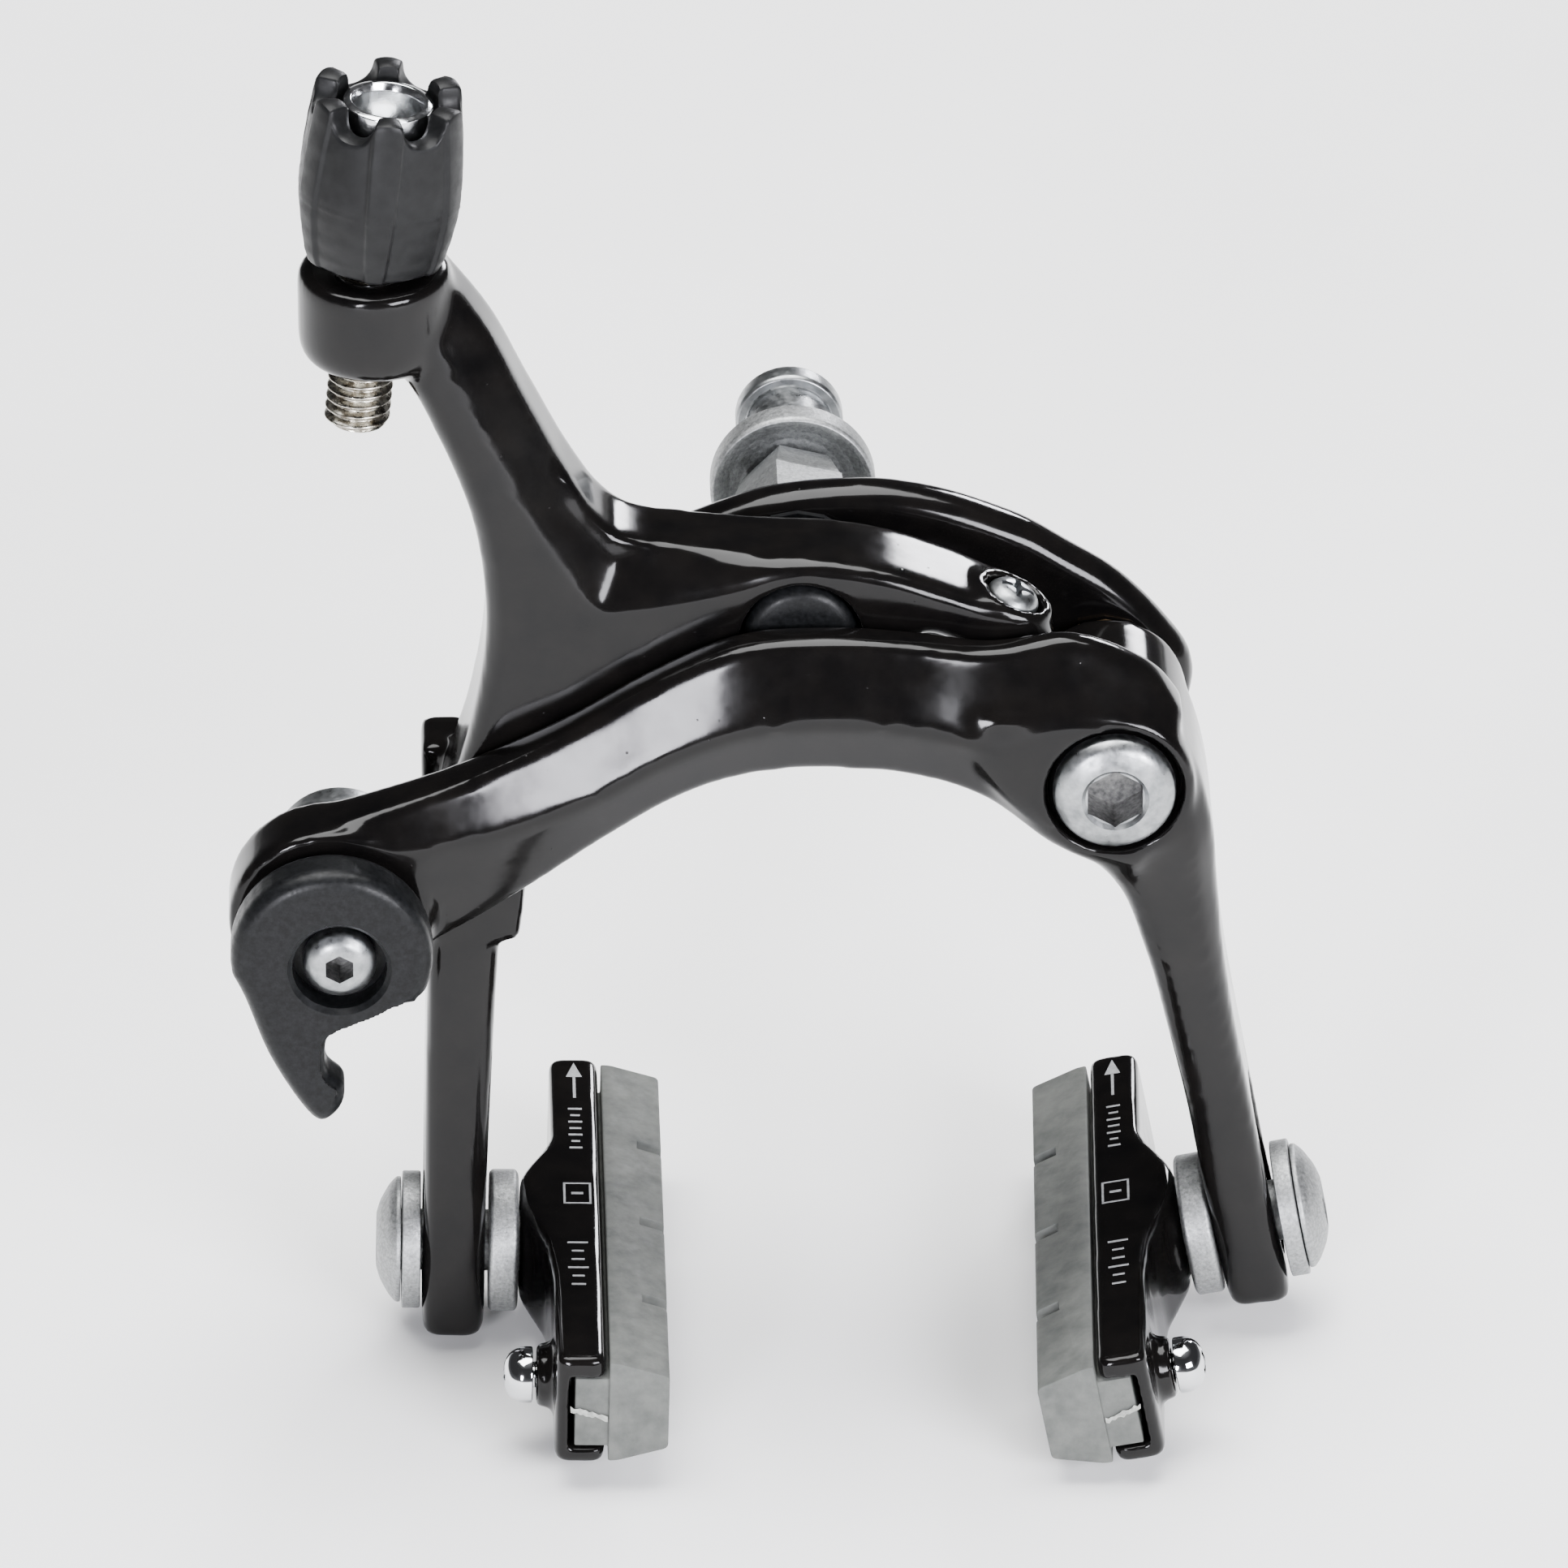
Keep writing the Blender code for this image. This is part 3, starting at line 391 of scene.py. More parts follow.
class Shader:
    """Small helper around one Principled material."""

    def __init__(self, name, colour, roughness, metallic=0.0):
        self.material = bpy.data.materials.new(name)
        self.material.use_nodes = True
        self.tree = self.material.node_tree
        self.main = self.tree.nodes["Principled BSDF"]
        self.main.inputs["Base Color"].default_value = (*colour, 1.0)
        self.main.inputs["Roughness"].default_value = roughness
        self.main.inputs["Metallic"].default_value = metallic
        self.where = self.tree.nodes.new("ShaderNodeTexCoord").outputs["Object"]
        self.height = None

    def link(self, source, target):
        self.tree.links.new(source, target)

    def noise(self, scale, detail=4.0, rough=0.55, stretch=None):
        node = self.tree.nodes.new("ShaderNodeTexNoise")
        node.inputs["Scale"].default_value = scale
        node.inputs["Detail"].default_value = detail
        node.inputs["Roughness"].default_value = rough
        source = self.where
        if stretch:
            mapping = self.tree.nodes.new("ShaderNodeMapping")
            mapping.inputs["Scale"].default_value = stretch
            self.link(source, mapping.inputs["Vector"])
            source = mapping.outputs["Vector"]
        self.link(source, node.inputs["Vector"])
        return node.outputs["Fac"]

    def cells(self, scale):
        node = self.tree.nodes.new("ShaderNodeTexVoronoi")
        node.inputs["Scale"].default_value = scale
        self.link(self.where, node.inputs["Vector"])
        return node.outputs["Distance"]

    def ramp(self, source, low, high, first, second):
        """Maps source between low and high to a value or colour between first and second."""
        node = self.tree.nodes.new("ShaderNodeValToRGB")
        node.color_ramp.elements[0].position = low
        node.color_ramp.elements[1].position = high
        for element, value in zip(node.color_ramp.elements, (first, second)):
            shade_of = value if isinstance(value, tuple) else (value, value, value)
            element.color = (*shade_of, 1.0)
        self.link(source, node.inputs["Fac"])
        return node.outputs["Color"]

    def colour(self, source, low, high, first, second):
        self.link(self.ramp(source, low, high, first, second), self.main.inputs["Base Color"])

    def roughness(self, source, low, high, first, second):
        self.link(self.ramp(source, low, high, first, second), self.main.inputs["Roughness"])

    def bump(self, source, distance, strength):
        """Adds a bump of the given height in millimetres."""
        node = self.tree.nodes.new("ShaderNodeBump")
        node.inputs["Distance"].default_value = distance * MM
        node.inputs["Strength"].default_value = strength
        self.link(source, node.inputs["Height"])
        if self.height:
            self.link(self.height, node.inputs["Normal"])
        self.height = node.outputs["Normal"]
        self.link(self.height, self.main.inputs["Normal"])


def build_materials():
    paint = Shader("black_gloss_paint", (0.006, 0.0055, 0.0055), 0.12)
    paint.main.inputs["IOR"].default_value = 1.30
    paint.colour(paint.noise(260), 0.3, 0.75, (0.0018, 0.0017, 0.0018), (0.0042, 0.0037, 0.0034))
    paint.roughness(paint.noise(420), 0.3, 0.8, 0.09, 0.17)
    paint.bump(paint.noise(300, 2.0), 0.02, 0.5)
    paint.bump(paint.ramp(paint.cells(520), 0.02, 0.06, 1.0, 0.0), 0.03, 0.35)

    plastic = Shader("black_moulded_plastic", (0.007, 0.0072, 0.0076), 0.42)
    plastic.main.inputs["IOR"].default_value = 1.27
    plastic.colour(plastic.noise(700, 6), 0.3, 0.7, (0.0022, 0.0023, 0.0025), (0.0055, 0.0057, 0.006))
    plastic.roughness(plastic.noise(900), 0.3, 0.7, 0.34, 0.50)
    plastic.bump(plastic.noise(2600, 3), 0.02, 0.35)

    lever = Shader("black_satin_coat", (0.007, 0.0074, 0.0078), 0.40)
    lever.main.inputs["IOR"].default_value = 1.25
    lever.colour(lever.noise(1900, 3, 0.7), 0.35, 0.8, (0.0018, 0.002, 0.0022), (0.0075, 0.008, 0.0088))
    lever.roughness(lever.noise(2500), 0.3, 0.7, 0.30, 0.46)
    lever.bump(lever.noise(3300, 2), 0.015, 0.45)

    zinc = Shader("zinc_plated_steel", (0.36, 0.37, 0.38), 0.33, metallic=1.0)
    zinc.colour(zinc.noise(900, 5), 0.3, 0.72, (0.19, 0.20, 0.205), (0.36, 0.37, 0.375))
    zinc.roughness(zinc.noise(1500), 0.3, 0.7, 0.26, 0.42)
    zinc.bump(zinc.noise(2400, 4), 0.02, 0.4)

    blasted = Shader("blasted_aluminium", (0.46, 0.47, 0.47), 0.50, metallic=1.0)
    blasted.colour(blasted.noise(3000, 4, 0.7), 0.3, 0.72, (0.20, 0.205, 0.205), (0.42, 0.43, 0.43))
    blasted.roughness(blasted.noise(2600), 0.3, 0.7, 0.42, 0.60)
    blasted.bump(blasted.noise(3600, 3), 0.05, 0.6)

    polished = Shader("polished_aluminium", (0.72, 0.73, 0.74), 0.14, metallic=1.0)
    polished.roughness(polished.noise(1800), 0.3, 0.8, 0.08, 0.24)
    polished.bump(polished.noise(1500, 3, stretch=(1, 1, 6)), 0.01, 0.3)

    threaded = Shader("thread_steel", (0.46, 0.44, 0.38), 0.24, metallic=1.0)
    threaded.colour(threaded.noise(1300, 5), 0.35, 0.68, (0.15, 0.13, 0.10), (0.62, 0.60, 0.53))
    threaded.roughness(threaded.noise(1700), 0.3, 0.7, 0.16, 0.40)

    chrome = Shader("chromed_steel", (0.66, 0.67, 0.68), 0.07, metallic=1.0)
    chrome.roughness(chrome.noise(900), 0.3, 0.8, 0.04, 0.12)

    bronze = Shader("bronze_bush", (0.40, 0.27, 0.14), 0.34, metallic=1.0)
    bronze.colour(bronze.noise(1100), 0.3, 0.7, (0.30, 0.20, 0.10), (0.48, 0.33, 0.18))

    spring = Shader("spring_steel", (0.36, 0.37, 0.38), 0.26, metallic=1.0)
    spring.colour(spring.noise(1000, 4), 0.3, 0.7, (0.26, 0.27, 0.28), (0.46, 0.47, 0.48))
    spring.bump(spring.noise(1800, 3), 0.015, 0.4)

    rubber = Shader("grey_pad_compound", (0.135, 0.140, 0.130), 0.78)
    rubber.colour(rubber.noise(420, 7, 0.62), 0.28, 0.74, (0.052, 0.056, 0.052), (0.108, 0.112, 0.103))
    rubber.roughness(rubber.noise(800), 0.3, 0.7, 0.62, 0.86)
    rubber.bump(rubber.noise(1500, 6), 0.05, 0.6)
    rubber.bump(rubber.ramp(rubber.cells(900), 0.0, 0.09, 1.0, 0.0), 0.04, 0.4)

    flash = Shader("torn_rubber", (0.27, 0.28, 0.26), 0.85)
    flash.colour(flash.noise(1600, 6, 0.7), 0.3, 0.7, (0.17, 0.175, 0.16), (0.40, 0.41, 0.38))
    flash.bump(flash.noise(2600, 6), 0.10, 0.9)

    print_ink = Shader("pale_print", (0.36, 0.37, 0.38), 0.42)
    print_ink.colour(print_ink.noise(2600, 4), 0.3, 0.7, (0.20, 0.205, 0.21), (0.33, 0.335, 0.34))

    # Darker metal for the insides of sockets: painted shade.
    recess = Shader("painted_socket_shade", (0.10, 0.10, 0.10), 0.45, metallic=1.0)
    recess.colour(recess.noise(2200, 5), 0.3, 0.7, (0.09, 0.09, 0.09), (0.24, 0.24, 0.235))
    recess.bump(recess.noise(2600, 4), 0.03, 0.5)
    return {"recess": recess, "paint": paint, "plastic": plastic, "lever": lever, "zinc": zinc,
            "blasted": blasted, "polished": polished, "threaded": threaded, "chrome": chrome,
            "bronze": bronze, "spring": spring, "rubber": rubber, "flash": flash, "print": print_ink}


MATERIALS = {name: shader.material for name, shader in build_materials().items()}


def paint_socket_shade(item, place, radius, ceiling):
    """Gives the faces inside a socket a darker metal as painted shade for the hollow; call after
    finish_piece.
    """
    item.data.materials.append(MATERIALS["recess"])
    back = place.inverted()
    for face in item.data.polygons:
        local = (back @ face.center) / MM
        if math.hypot(local.x, local.y) < radius and local.z < ceiling:
            face.material_index = 1


def finish_piece(item, look, body, *nodes):
    """Gives a piece its material, body and the CAD nodes it stands for."""
    item.data.materials.clear()
    item.data.materials.append(MATERIALS[look])
    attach(item, body)
    if nodes:
        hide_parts(*nodes)


# ---------------------------------------------------------------- arms and bracket

def leg_slot(shoe):
    """Stadium cutter through a leg, above the pad bolt."""
    bolt, tilt = shoe[1:3]
    place = (Matrix.Translation(point(bolt[0], PAD_BOLT_Y, bolt[1])) @ Matrix.Rotation(tilt, 4, "Y")
             @ Matrix.Rotation(math.pi / 2, 4, "Z") @ Matrix.Rotation(math.pi / 2, 4, "X"))
    outline = arc((0, 11.4), SLOT_RADIUS, 0, 180, 16) + arc((0, -0.6), SLOT_RADIUS, 180, 360, 16)
    return slab("leg_slot", outline, -9, 9, place)


def adjuster_place():
    return along(ADJUSTER_POINT, (math.sin(ADJUSTER_LEAN), 0.0, math.cos(ADJUSTER_LEAN)))


def centring_place():
    return along(CENTRING_POINT, (math.sin(CENTRING_LEAN), 0.0, math.cos(CENTRING_LEAN)))


def make_left_arm():
    tower_and_leg = [
        (-40.5, 31.0, -32.5, 36.0, -29.0, LEFT_REAR, 1.5, 1.5, 3.5, 2.4, 0.8),
        (-36.0, 26.5, -27.8, 29.6, -29.8, LEFT_REAR, 1.5, 1.5, 4.0, 2.8, 0.8),
        (-32.8, 20.5, -24.2, 22.2, -30.6, LEFT_REAR, 1.5, 1.5, 4.4, 3.0, 0.8),
        (-29.8, 12.5, -19.2, 12.6, LEFT_FRONT, LEFT_REAR, 1.5, 1.5, 5.2, 3.4, 0.8),
        (-28.6, 4.4, -13.0, 5.4, LEFT_FRONT, LEFT_REAR, 1.5, 1.5, 7.0, 3.2, 0.6),
        (-28.8, -2.5, -12.0, -2.5, LEFT_FRONT, LEFT_REAR, 1.5, 1.5, 1.0, 1.0, 0.6),
        (-30.3, -10.5, -17.0, -11.0, LEFT_FRONT, LEFT_REAR, 1.2, 1.2, 1.0, 1.0, 0.6),
        (-32.6, -18.2, -23.6, -19.5, LEFT_FRONT, -19.6, 1.0, 1.0, 1.0, 1.0, 0.6),
        (-33.6, -25.5, -27.0, -26.4, -31.0, -19.4, 1.0, 1.0, 1.0, 1.0, 0.6),
        (-34.2, -34.0, -27.8, -34.4, LEG_FRONT, LEG_REAR, 0.8, 0.8, 0.8, 0.8, 0.6),
        (-34.6, -47.0, -28.5, -47.0, LEG_FRONT, LEG_REAR, 0.8, 0.8, 0.8, 0.8, 0.6),
        (-34.9, -60.0, -29.1, -60.2, LEG_FRONT, LEG_REAR, 0.8, 0.8, 0.8, 0.8, 0.6),
        (-35.2, -72.8, -29.5, -73.1, LEG_FRONT, LEG_REAR, 0.8, 0.8, 0.8, 0.8, 0.6),
        (-34.4, -74.0, -30.2, -74.2, LEG_FRONT + 1.0, LEG_REAR - 1.0, 0.8, 0.8, 0.8, 0.8, 0.6)]
    extension = [
        (-22.0, 8.0, -24.0, -5.0, -31.0, -21.0, 5.0, 2.6, 1.0, 1.0, 0.6),
        (-14.0, 8.2, -16.0, -7.0, -31.0, -21.0, 4.6, 2.6, 1.0, 1.0, 0.6),
        (-7.0, 7.6, -8.0, -7.5, -31.0, -21.0, 2.6, 1.6, 1.0, 1.0, 0.6),
        (0.0, 7.9, 0.0, -7.6, -31.0, -21.0, 0.9, 0.9, 1.0, 1.0, 0.6),
        (7.0, 6.9, 7.0, -5.0, -31.0, -21.0, 0.8, 0.8, 1.0, 1.0, 0.6),
        (12.5, 5.1, 10.6, 0.0, -31.0, -21.2, 0.8, 0.8, 1.0, 1.0, 0.6),
        (17.6, 2.9, 15.6, -1.6, -31.0, -21.8, 0.6, 0.6, 0.8, 0.8, 0.6),
        (22.4, -0.3, 20.6, -3.8, -31.0, -22.6, 0.6, 0.6, 0.8, 0.8, 0.6),
        (23.2, -1.4, 22.2, -3.6, -29.8, -23.8, 0.5, 0.5, 0.6, 0.6, 0.6)]
    centre = along_y(ORIGIN)
    shoulder = Matrix.Translation(point(-29.6, -25.9, -26.8)) @ Matrix.Rotation(math.radians(6), 4, "Y")
    boss_place = along((-38.2, ADJUSTER_POINT[1], ADJUSTER_POINT[2]), (0, 0, 1))
    boss = lathe("boss", [(0, 4.3), (6.95, 4.3, 0.7), (6.95, -5.0, 2.2), (0, -5.0)], boss_place)
    crook = [(-21.4, 16.5), (-18.6, 11.8), (-16.9, 9.9), (-14.0, 9.0), (-10.9, 8.6), (-7.0, 8.1),
             (-2.0, 7.7), (-2.0, 3.0), (-20.0, 3.0)]
    arm = merge("left_arm_forging", [
        front_slab("crook", crook, -28.6, -20.8), rod("tip", centring_place(), 4.0, -5.4, 0.5),
        forging("tower", tower_and_leg), forging("extension", extension),
        rod("hub_front", centre, 7.4, -30.9, -21.5), rod("hub", centre, 6.4, -24.0, -18.6), boss,
        box("lug", Matrix.Translation(point(-32.4, -17.8, -19.0)), (0, 0, 0), (4.4, 6.4, 5.6)),
        box("shoulder", shoulder, (0, 0, 0), (8.6, 10.6, 8.4))])
    melt(arm)
    screw = centring_place()
    adjuster = adjuster_place()
    boolean(arm, [
        rod("bore", centre, PIVOT_BORE, -35, -15, 48), rod("counterbore", centre, 5.6, -35, -25.0),
        rod("adjuster_bore", adjuster, 3.35, -12, 12, 48), rod("screw_bore", screw, 1.85, -12, 6, 32),
        rod("screw_seat", screw, 2.85, -1.2, 6, 48), leg_slot(SHOES["left"])])
    fuse(arm, FINE_VOXEL, FINISH_ROUNDS)
    finish_piece(arm, "paint", "left_arm_group", "left_arm")


def make_right_arm():
    band = [
        (-43.4, -15.4, -40.5, -31.4, BAND_FRONT, BAND_REAR, 2.0, 1.5, 2.5, 1.2, 0.8),
        (-34.5, -12.6, -33.0, -27.8, BAND_FRONT, BAND_REAR, 4.4, 2.0, 10.2, 2.2, 0.6),
        (-28.5, -10.1, -25.8, -23.5, BAND_FRONT, BAND_REAR, 5.4, 2.4, 7.9, 2.8, 0.6),
        (-21.1, -6.4, -17.5, -17.6, BAND_FRONT, BAND_REAR, 6.0, 2.8, 5.5, 3.0, 0.6),
        (-13.8, -1.9, -10.5, -13.3, BAND_FRONT, BAND_REAR, 6.3, 3.0, 5.3, 3.0, 0.6),
        (-6.0, 1.7, -3.5, -11.2, BAND_FRONT, BAND_REAR, 7.0, 3.0, 5.8, 3.0, 0.6),
        (2.0, 2.4, 4.0, -11.0, BAND_FRONT, BAND_REAR, 7.0, 3.0, 6.2, 3.0, 0.6),
        (10.0, 1.8, 11.0, -12.0, BAND_FRONT, BAND_REAR, 7.2, 3.0, 6.3, 3.0, 0.6),
        (17.0, 0.8, 17.0, -14.4, BAND_FRONT, BAND_REAR, 8.2, 3.4, 6.6, 2.8, 0.6),
        (24.6, 1.6, 22.5, -18.2, BAND_FRONT, BAND_REAR, 6.6, 4.4, 2.0, 1.5, 0.6),
        (31.6, -1.8, 28.0, -21.0, -38.4, -31.0, 4.4, 4.0, 2.0, 1.5, 0.6),
        (34.6, -6.0, 30.0, -22.0, -38.3, -30.0, 3.4, 3.0, 2.0, 1.5, 0.6)]
    leg = [
        (31.6, -5.4, 16.0, -4.0, -38.2, -21.4, 4.0, 4.0, 1.0, 1.0, 0.8),
        (35.2, -9.6, 15.0, -8.6, -38.2, -21.0, 3.0, 3.0, 1.0, 1.0, 0.8),
        (37.2, -16.4, 19.0, -14.6, -38.2, -21.0, 2.0, 2.0, 1.5, 1.5, 0.8),
        (37.9, -24.0, 27.9, -22.6, -36.6, -21.0, 2.0, 2.0, 1.5, 1.5, 0.8),
        (38.6, -31.5, 31.4, -31.4, -35.2, -20.4, 1.5, 1.5, 1.0, 1.0, 0.6),
        (39.8, -40.0, 33.6, -40.6, -33.4, -19.4, 1.0, 1.0, 0.8, 0.8, 0.6),
        (41.4, -49.0, 35.6, -49.8, -31.8, LEG_REAR, 0.8, 0.8, 0.8, 0.8, 0.6),
        (43.4, -60.0, 37.6, -60.8, LEG_FRONT, LEG_REAR, 0.8, 0.8, 0.8, 0.8, 0.6),
        (45.5, -70.4, 39.8, -71.1, LEG_FRONT, LEG_REAR, 0.8, 0.8, 0.8, 0.8, 0.6),
        (45.0, -71.5, 40.8, -72.0, LEG_FRONT + 1.0, LEG_REAR - 1.0, 0.8, 0.8, 0.8, 0.8, 0.6)]
    side, quick = along_y(SIDE_PIVOT), along_y(QR_AXIS)
    arm = merge("right_arm_forging", [
        forging("leg", leg), forging("band", band),
        rod("qr_boss", along_y(QR_BOSS), 9.3, BAND_FRONT, BAND_REAR),
        rod("anchor_boss", quick, 7.2, -33.0, -28.6),
        rod("pivot_boss", side, 7.4, -38.2, -18.6),
        box("lug", Matrix.Translation(point(34.6, -17.4, -30.0)), (0, 0, 0), (3.4, 8.6, 6.6))])
    melt(arm)
    pocket = (Matrix.Translation(point(17.2, 0, -3.3)) @ Matrix.Rotation(CENTRING_LEAN, 4, "Y")
              @ Matrix.Translation(point(-4.0, -25.4, 6.0)))
    boolean(arm, [
        box("pocket", pocket, (0, 0, 0), (22.0, 12.0, 12.0)),
        rod("pivot_bore", side, PIVOT_BORE, -45, -15, 48), rod("pivot_seat", side, 6.3, -45, -36.7),
        rod("qr_bore", quick, 4.2, -45, -20, 48), leg_slot(SHOES["right"])])
    fuse(arm, FINE_VOXEL, FINISH_ROUNDS)
    finish_piece(arm, "paint", "right_arm_group", "right_arm")


def make_bracket():
    top = [(-13.6, 1.8), (-12.9, 2.8), (-9.7, 4.3), (-6.0, 5.8), (-3.0, 6.8), (1.0, 7.4), (6.3, 7.6),
           (10.0, 7.2), (13.8, 6.3), (17.6, 4.9), (21.3, 3.2), (25.0, 0.8), (28.8, -1.7), (31.5, -4.2),
           (33.8, -6.9)]
    side = [(36.0, -10.2), (36.4, -13.3), (35.4, -16.4), (32.4, -18.6), (28.4, -19.2), (24.0, -18.0)]
    bottom = [(21.0, -16.0), (14.0, -10.8), (6.0, -7.6), (0.0, -7.2), (-6.0, -5.8), (-11.0, -2.4)]
    loop = top + side + bottom
    outline = [tuple(row) for row in spline_values(loop + [loop[0]], 4)[:-1]]
    bracket = front_slab("bracket_forging", outline, BRACKET_FRONT, BRACKET_REAR)
    soften(bracket, 2.2, 6, 60, False)
    fuse(bracket, 0.4, 12)
    boolean(bracket, [rod("centre_hole", along_y(ORIGIN), M6_BORE, -20, -8, 48),
                      rod("side_hole", along_y(SIDE_PIVOT), M6_BORE, -20, -8, 48)])
    finish_piece(shade(bracket), "paint", "mount_group", "pivot_bracket")


# ---------------------------------------------------------------- turned hardware

def hex_cutter(place, across_flats, low, high):
    """Hexagonal prism along local Z."""
    radius = across_flats / 2 / math.cos(math.pi / 6)
    return slab("socket", arc((0, 0), radius, 30, 330, 6), low, high, place)


def reversed_place(place):
    """The same axis with local Z the other way, so that heights count toward -Y."""
    return place @ Matrix.Rotation(math.pi, 4, "X")


def make_mounting():
    axis = along_y(ORIGIN)
    washer = lathe("dished_washer", [
        (7.3, 0.0, 0.15), (7.65, -0.3, 0.2), (7.65, -2.6, 0.2), (7.35, -2.95, 0.12), (6.9, -2.7, 0.1),
        (5.9, -1.95), (4.8, -1.5), (M6_BORE, -1.4, 0.05), (M6_BORE, 0.0, 0.05)], axis, closed=True)
    finish_piece(washer, "blasted", "mount_group", "concave_washer")
    nut = lathe("sleeve_nut", [
        (4.55, 12.5, 0.15), (5.0, 12.1, 0.2), (5.0, 10.3, 0.2), (4.75, 10.0, 0.1), (4.0, 10.0, 0.3),
        (4.0, 0.9, 0.2), (3.7, 0.5, 0.1), (M6_BORE, 0.4, 0.05), (M6_BORE, 12.5, 0.05)],
        axis, closed=True)
    boolean(nut, [hex_cutter(axis, 6.5, 9.7, 13.0)])
    finish_piece(shade(nut), "zinc", "mount_group", "recessed_nut")
    spacer = lathe("tapered_spacer", [
        (4.4, -1.7, 0.2), (4.8, -2.6, 0.4), (5.9, -7.0, 0.3), (6.2, -7.5, 0.3), (6.2, -12.1, 0.2),
        (M6_BORE, -12.1, 0.05), (M6_BORE, -1.7, 0.05)], axis @ Matrix.Rotation(0.25, 4, "Z"),
        closed=True, steps=6)
    finish_piece(spacer, "blasted", "mount_group", "bolt_spacer")
    bolt = thread("mounting_stud", axis, 3.0, 1.0, -28.3, 9.6, 0.5, 48, 8)
    finish_piece(bolt, "zinc", "mount_group", "mounting_bolt")
    cap = lathe("pivot_cap", [
        (0, -31.0), (3.3, -30.95, 0.4), (4.5, -30.75, 0.4), (5.15, -30.1, 0.4), (5.2, -29.0, 0.3),
        (5.2, -26.6, 0.2), (5.0, -26.4, 0.1), (3.3, -26.4, 0.05), (3.3, -29.0, 0.05), (0, -29.0)], axis)
    finish_piece(cap, "lever", "mount_group", "centre_cap_nut")


def make_side_pivot():
    axis = along_y(SIDE_PIVOT)
    bolt = lathe("side_pivot_screw", [
        (0, -39.9), (3.0, -39.9, 0.3), (3.6, -39.75, 0.5), (4.9, -39.25, 0.9), (5.55, -38.5, 0.3),
        (5.6, -37.3, 0.2), (5.3, -37.0, 0.1), (3.0, -37.0, 0.1), (3.0, -11.0, 0.2), (2.6, -10.6, 0.1),
        (0, -10.6)], axis)
    outward = reversed_place(axis)
    boolean(bolt, [hex_cutter(outward, 5.0, 35.6, 41.0), cone("mouth", outward, 2.7, 3.3, 39.5, 40.1)])
    finish_piece(shade(bolt), "zinc", "mount_group", "side_pivot_bolt")
    paint_socket_shade(bolt, outward, 2.95, 39.3)


def make_quick_release():
    axis = along_y(QR_AXIS)
    centre_x, centre_z = QR_AXIS
    tail = [(5.2, -4.4), (3.4, -5.4), (1.5, -6.2), (-0.7, -7.3), (-1.4, -8.6), (-1.3, -11.2),
            (0.2, -12.9), (-0.1, -15.1), (-1.9, -16.5), (-3.8, -14.6), (-6.6, -9.4), (-8.6, -3.6)]
    rim = arc((-0.7, 0.6), 9.2, 190, -30, 28)
    smooth_tail = [tuple(row) for row in spline_values([rim[-1]] + tail + [rim[0]], 4)[1:-1]]
    outline = [(centre_x + x, centre_z + z) for x, z in rim + smooth_tail]
    lever = front_slab("release_lever", outline, -44.5, -39.2)
    soften(lever, 1.6, 5, 50, False)
    fuse(lever, 0.22, 3)
    boolean(lever, [rod("lever_bore", axis, 2.9, -50, -30, 48),
                    rod("lever_seat", axis, 4.3, -50, -41.7),
                    cone("lever_mouth", axis, 5.2, 4.2, -45.0, -43.9)])
    finish_piece(shade(lever), "lever", "qr_lever_group", "qr_lever")
    bolt = lathe("release_bolt", [
        (0, -44.4), (1.7, -44.4, 0.2), (2.4, -44.2, 0.3), (3.3, -43.5, 0.4), (3.4, -42.4, 0.2),
        (3.2, -42.1, 0.1), (2.5, -42.1, 0.05), (2.5, -20.8, 0.1), (2.2, -20.4, 0.1), (0, -20.4)], axis)
    boolean(bolt, [hex_cutter(reversed_place(axis), 2.5, 41.2, 46.0)])
    finish_piece(shade(bolt), "zinc", "right_arm_group", "qr_bolt")
    paint_socket_shade(bolt, reversed_place(axis), 1.5, 44.2)
    washer = lathe("clamp_washer", [(6.0, -26.2), (6.0, -28.2), (2.9, -28.2, 0.05), (2.9, -26.2, 0.05)],
                   axis, closed=True)
    finish_piece(washer, "zinc", "right_arm_group", "cable_clamp_washer")
    nut = lathe("anchor_nut", [
        (5.3, -20.8, 0.3), (5.9, -21.4, 0.3), (5.9, -25.4, 0.3), (5.4, -25.9, 0.2), (2.9, -25.9, 0.05),
        (2.9, -20.8, 0.05)], axis, closed=True)
    flats = [box("flat", Matrix.Translation(point(centre_x + side * 8.9, -23.4, centre_z)), (0, 0, 0),
                 (8.0, 8.0, 14.0)) for side in (-1, 1)]
    boolean(nut, flats)
    soften(nut, 0.15)
    finish_piece(shade(nut), "zinc", "right_arm_group", "cable_anchor_nut")


# ---------------------------------------------------------------- adjuster

def knob_radius(height):
    """Radius of the knob's barrel shape at a height along its axis."""
    stops = [(5.4, 6.2), (7.0, 6.75), (9.2, 7.2), (11.2, 7.5), (13.0, 7.6), (15.0, 7.5), (17.5, 7.3),
             (20.0, 7.0), (21.9, 6.7)]
    for (low, first), (high, second) in zip(stops, stops[1:]):
        if height <= high:
            t = min(max((height - low) / (high - low), 0.0), 1.0)
            t = t * t * (3 - 2 * t) * 0.4 + t * 0.6
            return first + (second - first) * t
    return stops[-1][1]


